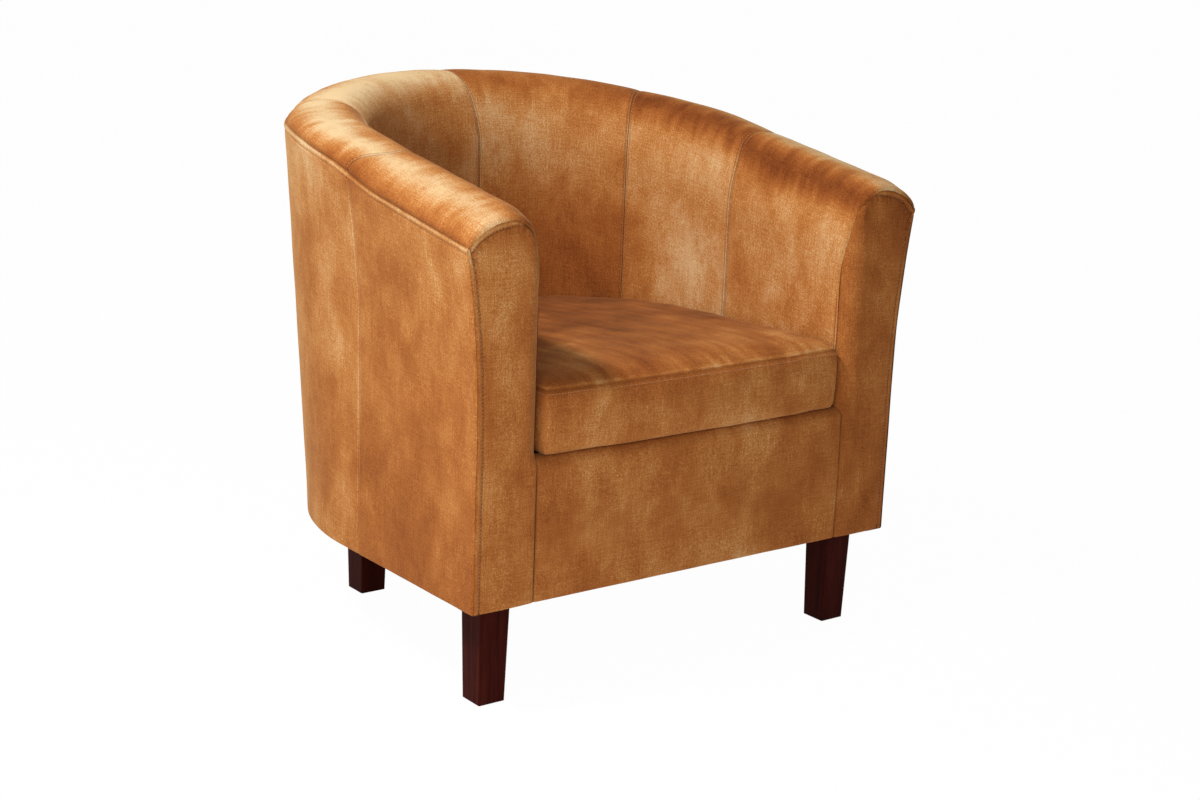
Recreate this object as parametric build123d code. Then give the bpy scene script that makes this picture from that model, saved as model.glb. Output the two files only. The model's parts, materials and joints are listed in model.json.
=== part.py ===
from build123d import *

import math
import os

# Cocktail chair: an upholstered tub chair with a rolled rim, a loose seat cushion and four tapered legs.
# Millimetres. +Z is up, the front faces -Y, and the origin is on the floor under the middle of the chair.
# Right is +X, as seen by someone who stands in front of the chair.
# The tub wall is a section, drawn as distance from the middle and height, with a level rim. The section is
# carried straight back along each arm and turned half round behind. The wall is then sheared upwards, so that
# the rim climbs to the back while every layer keeps its thickness and every upright face stays upright.

# Tub
overall_width = 720.0  # across the rim seams of the two arms
arm_run = 316.0  # straight length of an arm, from its facing to where the back starts to turn
side_tuck = 20.0  # how far the outside draws in from the rim seam to the underside
flare_drop = 230.0  # how far below the rim seam the outside starts to flare out
body_base = 138.0  # underside of the upholstery above the floor
arm_seam_height = 582.0  # rim seam at the front of an arm
back_rise = 100.0  # the crest at the middle of the back above the crest at the arm fronts

# Rolled rim, from the rim seam over the crest to the inside face
crest_height = 30.0  # crest above the rim seam
crest_inset = 58.0  # crest in from the rim seam
shoulder_inset = 44.0  # inner shoulder in from the crest
shoulder_drop = 28.0  # inner shoulder below the crest
wall_depth = 118.0  # rim seam to the inside face at the seat

# Layers of the upholstery
cover_thickness = 2.5
facing_thickness = 14.0
facing_edge_radius = 8.0
facing_foot_width = 91.0  # facing at its foot, from its seam to the apron out to the side
apron_setback = 1.0  # apron behind the facings
apron_top_depth = 19.0  # how far the apron cover reaches back over the front board
apron_hem_depth = 30.0  # how far it reaches back under the front board
board_thickness = 3.0
board_top_drop = 12.0  # outer board's top edge below the rim seam
inside_foam_thickness = 44.0
strap_thickness = 2.0
strap_width = 58.0
arm_strap_count = 3
back_strap_count = 5
strap_lap = 30.0  # how far a strap laps over each rail
soft_gap = 0.3  # between soft layers
wood_gap = 0.2  # between wooden pieces that only meet
inner_seam_angle = 57.0  # side seams of the inside back, from its middle

# Wooden frame
base_rail_height = 60.0
rail_thickness = 22.0
seat_rail_top = 303.0
seat_rail_height = 38.0
rim_rail_height = 40.0
rim_rail_drop = 17.0  # top of the rim rail below the rim seam
front_board_lift = 4.5  # front board's lower edge above the underside, room for the apron's hem
post_width = 40.0
arm_post_depth = 35.0
back_post_names = ("left", "rear_left", "rear", "rear_right", "right")  # evenly spread round the back
rear_rail_inset = 56.0  # straight rail under the seat, in from the middle of the inside back
corner_block_half = 40.0

# Legs and their fixings
leg_head = 44.0
leg_foot = 38.0
leg_edge_radius = 2.0
front_leg_inset = 54.0  # leg centre in from the outside at the underside
front_leg_setback = 52.0  # leg centre behind the front
rear_leg_inset = 81.0  # leg centre in from the outside at the underside
rear_leg_angle = 52.0  # from the middle of the back
glide_height = 1.2
glide_radius = 12.0
glide_pin_radius = 1.5
glide_pin_length = 12.0
bolt_radius = 4.0
bolt_grip = 42.0  # length of the bolt in the leg
nut_barrel_radius = 5.2
nut_barrel_length = 10.0
nut_flange_radius = 11.0
nut_flange_thickness = 1.5
fit_gap = 0.1
dust_cover_thickness = 1.0
screw_radius = 2.2
screw_head_radius = 4.2
screw_head_depth = 3.0
screw_length = 48.0
screw_spread = 44.0  # between the two screws of a corner block

# Seat suspension
spring_count = 5
spring_edge_inset = 63.0  # outer springs in from the inside face
spring_wire_radius = 1.9
spring_half_width = 26.0
spring_bends = 14
clip_thickness = 1.2
clip_width = 18.0
clip_reach = 8.0
deck_pad_thickness = 5.0
deck_cloth_thickness = 1.5

# Loose cushion
cushion_side_gap = 3.0  # cushion to the inside face
cushion_setback = 6.0  # cushion behind the front
cushion_box_height = 83.0  # underside to the top seam
cushion_crown = 24.0  # crown above the top seam
cushion_bulge = 5.0  # how far the sides stand out between their two seams
cushion_corner_radius = 14.0
cushion_cover_thickness = 1.5

# Places that follow from the sizes above
rim_radius = overall_width / 2
front_y = -(arm_run + rim_radius) / 2
turn_y = front_y + arm_run
crest_radius = rim_radius - crest_inset
crest_z = arm_seam_height + crest_height
rim_slope = back_rise / (arm_run + crest_radius)
base_radius = rim_radius - side_tuck
flare_start = arm_seam_height - flare_drop
flare_arc = (flare_drop**2 + side_tuck**2) / (2 * side_tuck)
inside_radius = rim_radius - wall_depth
foam_back_radius = inside_radius + cover_thickness + soft_gap + inside_foam_thickness
rail_face_radius = foam_back_radius + soft_gap + strap_thickness + wood_gap
tack_outer_radius = rail_face_radius + rail_thickness
rim_rail_top = arm_seam_height - rim_rail_drop
rim_rail_bottom = rim_rail_top - rim_rail_height
apron_half_width = base_radius - facing_foot_width
wall_start_y = front_y + facing_thickness + soft_gap
frame_bottom = body_base + dust_cover_thickness + 2 * soft_gap + wood_gap
base_rail_top = frame_bottom + base_rail_height
board_back_y = wall_start_y + rail_thickness
spring_z = seat_rail_top + clip_thickness + fit_gap + spring_wire_radius
clip_top = spring_z + spring_wire_radius + fit_gap + clip_thickness
spring_front_y = (wall_start_y + board_back_y) / 2 + clip_reach / 2
rear_rail_y = turn_y + inside_radius - rear_rail_inset
spring_back_y = rear_rail_y + rail_thickness / 2
spring_pitch = 2 * (inside_radius - spring_edge_inset) / (spring_count - 1)
deck_z = clip_top + soft_gap
deck_top = deck_z + deck_pad_thickness + soft_gap + deck_cloth_thickness
front_leg_x = base_radius - front_leg_inset
rear_leg_radius = base_radius - rear_leg_inset
turn_axis = Axis((0, turn_y, 0), (0, 0, 1))
half_turn = 180  # degrees round the back, from +X to -X
upright = 90  # degrees, the direction of the crest in the section
far = 2000.0  # reach of the blocks that only cut


def side_radius(height):
    """Outside face of the tub at a height of the level section: upright, then flaring out to the rim seam."""
    lift = max(height - flare_start, 0)
    return base_radius + flare_arc - math.sqrt(flare_arc**2 - lift**2)


board_inset = cover_thickness + soft_gap
rail_outer_radius = base_radius - board_inset - board_thickness - soft_gap
rail_inner_radius = rail_outer_radius - rail_thickness
post_inner = tack_outer_radius + wood_gap
post_outer = math.sqrt(rail_outer_radius**2 - (post_width / 2) ** 2)

# The rim's three arcs follow on from each other: seam to crest, crest to shoulder, shoulder to inside face.
crest_outer_arc = (crest_inset**2 + crest_height**2) / (2 * crest_height)
crest_inner_arc = (shoulder_inset**2 + shoulder_drop**2) / (2 * shoulder_drop)
seam_angle = math.degrees(math.acos(crest_inset / crest_outer_arc))
shoulder_angle = upright + math.degrees(math.asin(shoulder_inset / crest_inner_arc))
shoulder_turn = math.radians(half_turn - shoulder_angle)
inside_arc = (crest_radius - shoulder_inset - inside_radius) / (1 - math.cos(shoulder_turn))
inside_arc_z = crest_z - shoulder_drop - inside_arc * math.sin(shoulder_turn)

nodes = {}


def add_pair(name, right_shape):
    """Adds a piece of the right side, and its mirror image on the left."""
    nodes[f"{name}_right"] = right_shape
    nodes[f"{name}_left"] = mirror(right_shape, about=Plane.YZ)


def block(x, y, z):
    """A box between two limits on each axis."""
    middle = Pos((x[0] + x[1]) / 2, (y[0] + y[1]) / 2, (z[0] + z[1]) / 2)
    return middle * Box(x[1] - x[0], y[1] - y[0], z[1] - z[0])


def rod(x, y, z, radius):
    """An upright cylinder between two heights."""
    return Pos(x, y, (z[0] + z[1]) / 2) * Cylinder(radius, z[1] - z[0])


def under_plane(height, slope):
    """Everything under a plane that has the height at the front and the slope towards the back."""
    rise_to = [height + slope * (y - front_y) for y in (-far, far)]
    outline = Polyline((-far, -far), (far, -far), (far, rise_to[1]), (-far, rise_to[0]), close=True)
    return extrude(Plane.YZ * make_face(outline), amount=far, both=True)


def rise(shape):
    """Shears a piece with a level rim upwards, so that it climbs towards the back."""
    rows = [[1, 0, 0, 0], [0, 1, 0, 0], [0, rim_slope, 1, -rim_slope * front_y]]
    return shape.transform_geometry(Matrix(rows))


def wall_section_at(y):
    """Upright plane across the chair, with X for the section's radius and Z for its height."""
    return Plane(origin=(0, y, 0), x_dir=(1, 0, 0), z_dir=(0, -1, 0))


def along_arm(section, y_from, y_to, foot):
    """Carries a section along the right arm, cuts it level at its foot and lets it climb."""
    run = extrude(wall_section_at(y_to) * section, amount=y_to - y_from, dir=(0, -1, 0))
    return rise(run - under_plane(foot, -rim_slope))


def round_back(section, start, end, foot):
    """Turns a section round the back between two angles from +X, cuts it level and lets it climb."""
    turned = revolve(wall_section_at(turn_y) * section, axis=turn_axis, revolution_arc=end - start)
    turned = turned.rotate(turn_axis, start)
    return rise(turned - under_plane(foot, -rim_slope))


def rim_arcs(inset):
    """The rolled rim at a depth under the cover's face, from the rim seam to the inside face."""
    outer = (crest_radius, crest_z - crest_outer_arc)
    inner = (crest_radius, crest_z - crest_inner_arc)
    side = (inside_radius + inside_arc, inside_arc_z)
    return [
        CenterArc(outer, crest_outer_arc - inset, seam_angle, upright - seam_angle),
        CenterArc(inner, crest_inner_arc - inset, upright, shoulder_angle - upright),
        CenterArc(side, inside_arc - inset, shoulder_angle, half_turn - shoulder_angle),
    ]


def side_edges(inset, top):
    """The outside face at a depth under it: upright from far below the floor, then an arc up to a height."""
    low = -arm_seam_height
    radius = flare_arc + inset
    sweep_angle = math.degrees(math.asin((top - flare_start) / radius))
    foot, bend = (base_radius - inset, low), (base_radius - inset, flare_start)
    centre = (base_radius + flare_arc, flare_start)
    return [CenterArc(centre, radius, half_turn - sweep_angle, sweep_angle), Line(bend, foot)]


def tub_outline(inset, outer_inset):
    """The whole wall's section at a depth under its faces, from far below the floor to the rim."""
    arcs = rim_arcs(inset)
    top, inner = arcs[0] @ 0, arcs[-1] @ 1
    side = side_edges(outer_inset, top.Y)
    corner, foot = side[0] @ 0, side[1] @ 1
    inner_foot = (inner.X, foot.Y)
    edges = arcs + side + [Line(inner, inner_foot), Line(inner_foot, foot)]
    return edges if (corner - top).length < fit_gap else edges + [Line(corner, top)]


def cover_section():
    """The cover that runs from the rim seam over the crest and down the inside."""
    outer, inner = rim_arcs(0), rim_arcs(cover_thickness)
    low = -arm_seam_height
    outer_foot, inner_foot = (inside_radius, low), (inside_radius + cover_thickness, low)
    joins = [
        Line(outer[0] @ 0, inner[0] @ 0),
        Line(outer[-1] @ 1, outer_foot),
        Line(outer_foot, inner_foot),
        Line(inner_foot, inner[-1] @ 1),
    ]
    return make_face(outer + inner + joins)


def side_section(inset, thickness, top):
    """A layer of the outside wall, from far below the floor to a top edge."""
    outer, inner = side_edges(inset, top), side_edges(inset + thickness, top)
    joins = [Line(outer[0] @ 0, inner[0] @ 0), Line(outer[1] @ 1, inner[1] @ 1)]
    return make_face(outer + inner + joins)


def rim_rail_section():
    """The rim rail: upright on the inside, following the outer board on the outside."""
    depth = board_inset + board_thickness + soft_gap
    corners = [
        (rail_face_radius, rim_rail_bottom),
        (side_radius(rim_rail_bottom) - depth, rim_rail_bottom),
        (side_radius(rim_rail_top) - depth, rim_rail_top),
        (rail_face_radius, rim_rail_top),
    ]
    return make_face(Polyline(*corners, close=True))


def foam_section():
    """The padding: over the rim rail and down the inside, just under the cover."""
    inset = cover_thickness + soft_gap
    under_cover = make_face(tub_outline(inset, board_inset + board_thickness + soft_gap))
    low, high = -2 * arm_seam_height, 2 * arm_seam_height
    behind = make_face(Polyline(
        (foam_back_radius, low), (2 * rim_radius, low), (2 * rim_radius, rim_rail_top + soft_gap),
        (foam_back_radius, rim_rail_top + soft_gap), close=True))
    outside_edge = side_radius(rim_rail_top) - board_inset - board_thickness - soft_gap
    outside = make_face(Polyline(
        (outside_edge, low), (2 * rim_radius, low), (2 * rim_radius, high), (outside_edge, high), close=True))
    return under_cover - behind - outside


def ring(inner, outer, z, start=0, end=half_turn):
    """An upright-sided piece of a ring round the back, between two angles from +X."""
    profile = make_face(Polyline((inner, z[0]), (outer, z[0]), (outer, z[1]), (inner, z[1]), close=True))
    turned = revolve(wall_section_at(turn_y) * profile, axis=turn_axis, revolution_arc=end - start)
    return turned.rotate(turn_axis, start)


def tub_plate(radius, y_from, z):
    """A flat plate with a straight front and a round back."""
    front = block((-radius, radius), (y_from, turn_y), z)
    back = rod(0, turn_y, z, radius) & block((-radius, radius), (turn_y, turn_y + radius), z)
    return front + back


def leg_places():
    """The four legs: name, centre and the angle of the corner block that carries each."""
    spread = math.radians(rear_leg_angle)
    rear_x = rear_leg_radius * math.sin(spread)
    rear_y = turn_y + rear_leg_radius * math.cos(spread)
    front = front_y + front_leg_setback
    return {
        "front_left": (-front_leg_x, front),
        "front_right": (front_leg_x, front),
        "rear_left": (-rear_x, rear_y),
        "rear_right": (rear_x, rear_y),
    }


leg_top = body_base + soft_gap
nut_seat = base_rail_top


def add_legs():
    """Tapered square legs, each with a bolt into its corner block and a glide under it."""
    bolts, nuts, glides = [], [], []
    for name, (x, y) in leg_places().items():
        ends = [Pos(x, y, glide_height) * Rectangle(leg_foot, leg_foot),
                Pos(x, y, leg_top) * Rectangle(leg_head, leg_head)]
        leg = loft(ends)
        upright = leg.edges().filter_by(lambda edge: abs(edge.tangent_at(0.5).Z) > 0.5)
        leg = fillet(upright, leg_edge_radius)
        leg -= rod(x, y, (leg_top - bolt_grip - fit_gap, leg_top), bolt_radius + fit_gap)
        leg -= rod(x, y, (glide_height, glide_height + glide_pin_length + fit_gap), glide_pin_radius + fit_gap)
        nodes[f"leg_{name}"] = leg
        bolts.append(rod(x, y, (leg_top - bolt_grip, nut_seat + nut_flange_thickness), bolt_radius))
        flange = rod(x, y, (nut_seat, nut_seat + nut_flange_thickness), nut_flange_radius)
        barrel = rod(x, y, (nut_seat - nut_barrel_length, nut_seat), nut_barrel_radius)
        bore = rod(x, y, (nut_seat - nut_barrel_length, nut_seat + nut_flange_thickness), bolt_radius + fit_gap)
        nuts.append(flange + barrel - bore)
        pin = rod(x, y, (glide_height, glide_height + glide_pin_length), glide_pin_radius)
        pad = rod(x, y, (0, glide_height), glide_radius)
        glides.append(fillet(pad.edges().sort_by(Axis.Z)[0], glide_height / 3) + pin)
    nodes["leg_bolts"] = Compound(children=bolts)
    nodes["leg_tee_nuts"] = Compound(children=nuts)
    nodes["leg_glides"] = Compound(children=glides)


def screw_places():
    """Where each corner block's screws start, on the outside of its rail, and which way they point."""
    places = []
    z = (frame_bottom + base_rail_top) / 2
    for x in (-front_leg_x, front_leg_x):
        for step in (-screw_spread / 2, screw_spread / 2):
            places.append(Plane(origin=(x + step, wall_start_y, z), z_dir=(0, 1, 0)))
    for side in (-1, 1):
        for step in (-screw_spread / 2, screw_spread / 2):
            turn = math.radians(side * rear_leg_angle) + step / rail_outer_radius
            out = Vector(math.sin(turn), math.cos(turn), 0)
            places.append(Plane(origin=Vector(0, turn_y, z) + out * rail_outer_radius, z_dir=-out))
    return places


def screw(place, room):
    """A countersunk screw, or with room around it the hole that it sits in."""
    head = Pos(0, 0, screw_head_depth / 2) * Cylinder(screw_head_radius + room, screw_head_depth)
    shank = Pos(0, 0, screw_length / 2) * Cylinder(screw_radius + room, screw_length + room)
    return place * (head + shank)


def add_base():
    """The ring of rails that the legs, posts and covers are fixed to."""
    z = (frame_bottom, base_rail_top)
    holes = [screw(place, fit_gap) for place in screw_places()]
    front = block((-rail_outer_radius, rail_outer_radius), (wall_start_y, board_back_y),
                  (body_base + front_board_lift, seat_rail_top))
    side = block((rail_inner_radius, rail_outer_radius), (board_back_y, turn_y), z)
    nodes["front_board"] = front - holes
    add_pair("base_side_rail", side)
    nodes["base_back_hoop"] = ring(rail_inner_radius, rail_outer_radius, z) - holes
    blocks = []
    for name, (x, y) in leg_places().items():
        if name.startswith("front"):
            wide = sorted((x - math.copysign(corner_block_half, x), math.copysign(rail_inner_radius, x)))
            body = block(wide, (board_back_y, y + corner_block_half), z)
        else:
            turn = -math.copysign(rear_leg_angle, x)
            deep = (rear_leg_radius - corner_block_half, rail_inner_radius + corner_block_half)
            body = Pos(0, turn_y) * Rot(0, 0, turn) * block((-corner_block_half, corner_block_half), deep, z)
            body &= rod(0, turn_y, z, rail_inner_radius)
        body -= rod(x, y, z, nut_barrel_radius + fit_gap)
        blocks.append(body - holes)
    nodes["corner_blocks"] = Compound(children=blocks)
    nodes["block_screws"] = Compound(children=[screw(place, 0) for place in screw_places()])


def add_frame():
    """Posts, seat rails and the rim rail that climbs to the back."""
    under_rail = under_plane(rim_rail_bottom - wood_gap, rim_slope)
    arm_post = block((post_inner, post_outer), (wall_start_y, wall_start_y + arm_post_depth),
                     (seat_rail_top, 2 * arm_seam_height))
    add_pair("arm_post", arm_post & under_rail)
    post_step = half_turn / (len(back_post_names) - 1)
    for index, name in enumerate(back_post_names):
        angle = half_turn / 2 - index * post_step
        post = block((-post_width / 2, post_width / 2), (post_inner, post_outer),
                     (base_rail_top, 2 * arm_seam_height))
        nodes[f"post_{name}"] = (Pos(0, turn_y) * Rot(0, 0, angle) * post) & under_rail
    z = (seat_rail_top - seat_rail_height, seat_rail_top)
    add_pair("seat_side_rail", block((rail_face_radius, tack_outer_radius), (board_back_y, turn_y), z))
    nodes["seat_back_hoop"] = ring(rail_face_radius, tack_outer_radius, z)
    rear_back_y = rear_rail_y + rail_thickness
    rear_half = math.sqrt((rail_face_radius - wood_gap) ** 2 - (rear_back_y - turn_y) ** 2)
    nodes["seat_rear_rail"] = block((-rear_half, rear_half), (rear_rail_y, rear_back_y), z)
    add_pair("rim_rail_arm", along_arm(rim_rail_section(), wall_start_y, turn_y, frame_bottom))
    nodes["rim_rail_back"] = round_back(rim_rail_section(), 0, half_turn, frame_bottom)


def spring_path():
    """A zigzag wire: crossways runs joined by half turns, from the front board to the rear rail."""
    step = (spring_back_y - spring_front_y) / spring_bends
    half_run = spring_half_width - step / 2
    edges = []
    for index in range(spring_bends + 1):
        y = spring_front_y + index * step
        side = 1 if index % 2 == 0 else -1
        start = (-side * half_run, y, spring_z)
        end = (side * half_run, y, spring_z)
        edges.append(Line(start, end))
        if index < spring_bends:
            middle = (side * spring_half_width, y + step / 2, spring_z)
            edges.append(ThreePointArc(end, middle, (side * half_run, y + step, spring_z)))
    return Wire(edges)


def spring_clip(y, away):
    """A folded steel clip that holds an end run of a spring to its rail; away is the closed side."""
    room = (spring_wire_radius + fit_gap) * 2
    shut, mouth = away * clip_reach / 2, -away * clip_reach / 2
    shut_inside = shut - away * clip_thickness
    lip, top = room + clip_thickness, room + 2 * clip_thickness
    corners = [
        (mouth, 0), (shut, 0), (shut, top), (mouth, top),
        (mouth, lip), (shut_inside, lip), (shut_inside, clip_thickness), (mouth, clip_thickness),
    ]
    profile = make_face(Polyline(*corners, close=True))
    place = Plane(origin=(0, y, seat_rail_top), x_dir=(0, 1, 0), z_dir=(1, 0, 0))
    return extrude(place * profile, amount=clip_width / 2, both=True)


def add_seat_suspension():
    """Zigzag springs in clips, with a felt pad and a cloth over them."""
    path = spring_path()
    wire = sweep(Plane(origin=path @ 0, z_dir=path % 0) * Circle(spring_wire_radius), path=path)
    clips = [spring_clip(spring_front_y, -1), spring_clip(spring_back_y, 1)]
    offsets = [(index - (spring_count - 1) / 2) * spring_pitch for index in range(spring_count)]
    nodes["seat_springs"] = Compound(children=[Pos(x, 0, 0) * wire for x in offsets])
    nodes["spring_clips"] = Compound(children=[Pos(x, 0, 0) * clip for x in offsets for clip in clips])
    radius = inside_radius - soft_gap
    start = front_y + apron_setback + apron_top_depth + soft_gap
    pad_z = (deck_z, deck_z + deck_pad_thickness)
    cloth_z = (pad_z[1] + soft_gap, pad_z[1] + soft_gap + deck_cloth_thickness)
    nodes["deck_pad"] = tub_plate(radius, start, pad_z)
    nodes["deck_cloth"] = tub_plate(radius, start, cloth_z)


def add_wall_layers():
    """Padding, boards and covers of the tub, piece by piece as they are cut and sewn."""
    foam, cover = foam_section(), cover_section()
    add_pair("arm_foam", along_arm(foam, wall_start_y, turn_y, deck_z))
    nodes["back_foam"] = round_back(foam, 0, half_turn, deck_z)
    add_pair("inside_arm_cover", along_arm(cover, wall_start_y, turn_y, deck_z))
    seam = half_turn / 2 - inner_seam_angle
    nodes["inside_corner_cover_right"] = round_back(cover, 0, seam, deck_z)
    nodes["inside_back_cover_right"] = round_back(cover, seam, half_turn / 2, deck_z)
    nodes["inside_back_cover_left"] = round_back(cover, half_turn / 2, half_turn - seam, deck_z)
    nodes["inside_corner_cover_left"] = round_back(cover, half_turn - seam, half_turn, deck_z)

    seam_drop = cover_thickness * math.sin(math.radians(seam_angle)) + soft_gap
    outside = side_section(0, cover_thickness, arm_seam_height - seam_drop)
    board = side_section(board_inset, board_thickness, arm_seam_height - board_top_drop)
    add_pair("outside_arm_cover", along_arm(outside, wall_start_y, turn_y, body_base))
    nodes["outside_back_cover"] = round_back(outside, 0, half_turn, body_base)
    add_pair("outside_arm_board", along_arm(board, wall_start_y, turn_y, frame_bottom))
    nodes["outside_back_board"] = round_back(board, 0, half_turn, frame_bottom)


def add_straps():
    """Elastic straps behind the padding, from the rim rail down to the seat rails."""
    under_top = under_plane(rim_rail_bottom + strap_lap, rim_slope)
    z = (seat_rail_top - strap_lap, 2 * arm_seam_height)
    inner = foam_back_radius + soft_gap
    outer = inner + strap_thickness
    arm_step = (turn_y - board_back_y) / arm_strap_count
    straps = []
    for index in range(arm_strap_count):
        y = board_back_y + (index + 0.5) * arm_step
        right = block((inner, outer), (y - strap_width / 2, y + strap_width / 2), z) & under_top
        straps += [right, mirror(right, about=Plane.YZ)]
    half_angle = math.degrees(strap_width / outer) / 2
    for index in range(back_strap_count):
        middle = (index + 0.5) * half_turn / back_strap_count
        straps.append(ring(inner, outer, z, middle - half_angle, middle + half_angle) & under_top)
    nodes["wall_straps"] = Compound(children=straps)


def add_front():
    """The arm facings, and the apron between them with its padding."""
    outline = make_face(tub_outline(0, 0))
    back_plane = wall_section_at(front_y + facing_thickness)
    facing = extrude(back_plane * outline, amount=facing_thickness, dir=(0, -1, 0))
    front_edges = facing.faces().sort_by(Axis.Y)[0].edges()
    facing = fillet(front_edges, facing_edge_radius)
    facing = rise(facing - under_plane(body_base, -rim_slope))
    below_seat = block((0, apron_half_width + soft_gap), (-far, far), (0, deck_top + soft_gap))
    add_pair("arm_facing", facing - below_seat)

    face_y = front_y + apron_setback
    inner_y = face_y + cover_thickness
    top_y = face_y + apron_top_depth
    wide = (-apron_half_width, apron_half_width)
    narrow = (soft_gap - inside_radius, inside_radius - soft_gap)
    hem_z = body_base + front_board_lift - soft_gap
    face = block(wide, (face_y, inner_y), (body_base, deck_top))
    fold = block(narrow, (face_y, top_y), (deck_top - cover_thickness, deck_top))
    hem = block(wide, (face_y, face_y + apron_hem_depth), (hem_z - cover_thickness, hem_z))
    nodes["apron_cover"] = face + fold + hem
    pad_top = deck_top - cover_thickness - soft_gap
    pad_face = inner_y + soft_gap
    front_pad = block(wide, (pad_face, wall_start_y - soft_gap), (hem_z + soft_gap, pad_top))
    top_pad = block(narrow, (pad_face, top_y), (seat_rail_top + soft_gap, pad_top))
    nodes["apron_padding"] = front_pad + top_pad


def add_dust_cover():
    """The thin cloth that closes the underside, with a hole for each leg bolt."""
    radius = base_radius - cover_thickness - soft_gap
    z = (body_base + 2 * soft_gap, body_base + 2 * soft_gap + dust_cover_thickness)
    cloth = tub_plate(radius, wall_start_y, z)
    for x, y in leg_places().values():
        cloth -= rod(x, y, z, bolt_radius + soft_gap)
    nodes["dust_cover"] = cloth


cushion_base = deck_top + soft_gap
cushion_seam = cushion_base + cushion_box_height


def cushion_ring(z, inset):
    """The cushion's plan at a height, drawn in by an inset: straight front, round corners, round back."""
    radius = inside_radius - cushion_side_gap - inset
    front = front_y + cushion_setback + inset
    corner = cushion_corner_radius
    bend = corner * (1 - math.sqrt(0.5))
    back = turn_y + radius
    reach = radius * math.sqrt(0.5)
    half = [
        Line((0, front), (radius - corner, front)),
        ThreePointArc((radius - corner, front), (radius - bend, front + bend), (radius, front + corner)),
        Line((radius, front + corner), (radius, turn_y)),
        ThreePointArc((radius, turn_y), (reach, turn_y + reach), (0, back)),
    ]
    other = [mirror(edge, about=Plane.YZ) for edge in half]
    return Pos(0, 0, z) * make_face(half + other)


def cushion_box(inset, z):
    """The cushion's sides: they stand out between the lower and the upper seam."""
    rings = []
    for share in (0, 0.25, 0.5, 0.75, 1):
        bow = cushion_bulge * (2 * share - 1) ** 2
        rings.append(cushion_ring(z[0] + share * (z[1] - z[0]), inset + bow))
    return loft(rings)


def cushion_dome(inset, drop):
    """The crowned top: it rises steeply from the seam and flattens towards the middle."""
    rings = []
    top_inset = inside_radius - cushion_side_gap - 2 * cushion_corner_radius
    for share in (0, 0.12, 0.35, 0.65, 1):
        height = cushion_crown * (1 - (1 - share) ** 2)
        bow = cushion_bulge + share * (top_inset - cushion_bulge)
        rings.append(cushion_ring(cushion_seam - drop + height, inset + bow))
    return loft(rings)


def add_cushion():
    """The loose cushion: a foam core in a cover of a crowned top, a boxing band and a base."""
    skin = cushion_cover_thickness
    core_inset = skin + soft_gap
    band = (cushion_base + skin + soft_gap, cushion_seam)
    base_ring = cushion_ring(cushion_base, cushion_bulge)
    nodes["cushion_base_panel"] = extrude(base_ring, amount=skin, dir=(0, 0, 1))
    nodes["cushion_boxing"] = cushion_box(0, band) - cushion_box(skin, band)
    nodes["cushion_top_panel"] = cushion_dome(0, 0) - cushion_dome(0, skin)
    sides = cushion_box(core_inset, (band[0], cushion_seam - skin))
    nodes["cushion_core"] = sides + cushion_dome(core_inset, skin + soft_gap)


add_legs()
add_base()
add_frame()
add_seat_suspension()
add_wall_layers()
add_straps()
add_front()
add_dust_cover()
add_cushion()

os.makedirs("parts", exist_ok=True)
for name, shape in nodes.items():
    export_step(shape, f"parts/{name}.step")
print(f"{len(nodes)} nodes")
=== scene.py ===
# %% [markdown]
# # A cocktail chair in golden velvet
# This lesson dresses a finished frame: a tub chair whose wood, springs and padding are already solid
# parts. What is left is the cloth. Every panel of velvet here is a sheet of points worked out from a
# formula, so that a seam, a fold or a rolled edge is a number that you can change and see again.

# %% Load the frame
import json
import math

import bmesh
import bpy
import numpy as np
from mathutils import Matrix, Vector
from mathutils.bvhtree import BVHTree


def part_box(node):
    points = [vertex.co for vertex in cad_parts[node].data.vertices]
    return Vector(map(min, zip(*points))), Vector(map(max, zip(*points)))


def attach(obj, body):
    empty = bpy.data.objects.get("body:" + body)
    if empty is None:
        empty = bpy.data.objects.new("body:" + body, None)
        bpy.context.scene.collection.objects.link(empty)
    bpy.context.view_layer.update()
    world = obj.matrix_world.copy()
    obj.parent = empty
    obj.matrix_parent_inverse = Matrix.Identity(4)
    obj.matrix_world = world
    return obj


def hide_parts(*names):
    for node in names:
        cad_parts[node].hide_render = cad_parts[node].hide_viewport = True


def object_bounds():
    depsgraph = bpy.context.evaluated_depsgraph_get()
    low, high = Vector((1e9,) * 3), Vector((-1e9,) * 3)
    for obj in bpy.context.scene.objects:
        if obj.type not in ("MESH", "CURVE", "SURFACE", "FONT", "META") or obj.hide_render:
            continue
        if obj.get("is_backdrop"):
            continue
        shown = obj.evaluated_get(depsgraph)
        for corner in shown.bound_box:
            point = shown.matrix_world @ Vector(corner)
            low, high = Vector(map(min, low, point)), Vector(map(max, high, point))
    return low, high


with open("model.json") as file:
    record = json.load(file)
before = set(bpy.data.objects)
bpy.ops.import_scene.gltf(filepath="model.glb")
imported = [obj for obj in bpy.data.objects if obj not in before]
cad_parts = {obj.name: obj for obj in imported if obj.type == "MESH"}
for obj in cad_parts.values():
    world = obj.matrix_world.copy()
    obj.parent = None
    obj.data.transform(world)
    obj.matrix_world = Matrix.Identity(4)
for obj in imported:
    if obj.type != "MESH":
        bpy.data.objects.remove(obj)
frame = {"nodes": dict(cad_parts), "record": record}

cad_low, cad_high = ([float(value) for value in corner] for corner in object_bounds())
print("frame:", len(frame["nodes"]), "parts, box", np.round(cad_low, 3), np.round(cad_high, 3))

# %% [markdown]
# The tub's wall is one shape carried round the seat, so a handful of sizes describe all of it. Those that
# a part of the frame has are read from it, and the roll's own sizes are named here. The rim climbs in a
# straight line from the arms to the back: a point is worked out on a level wall first, and then lifted by
# its distance behind the front.

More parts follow.
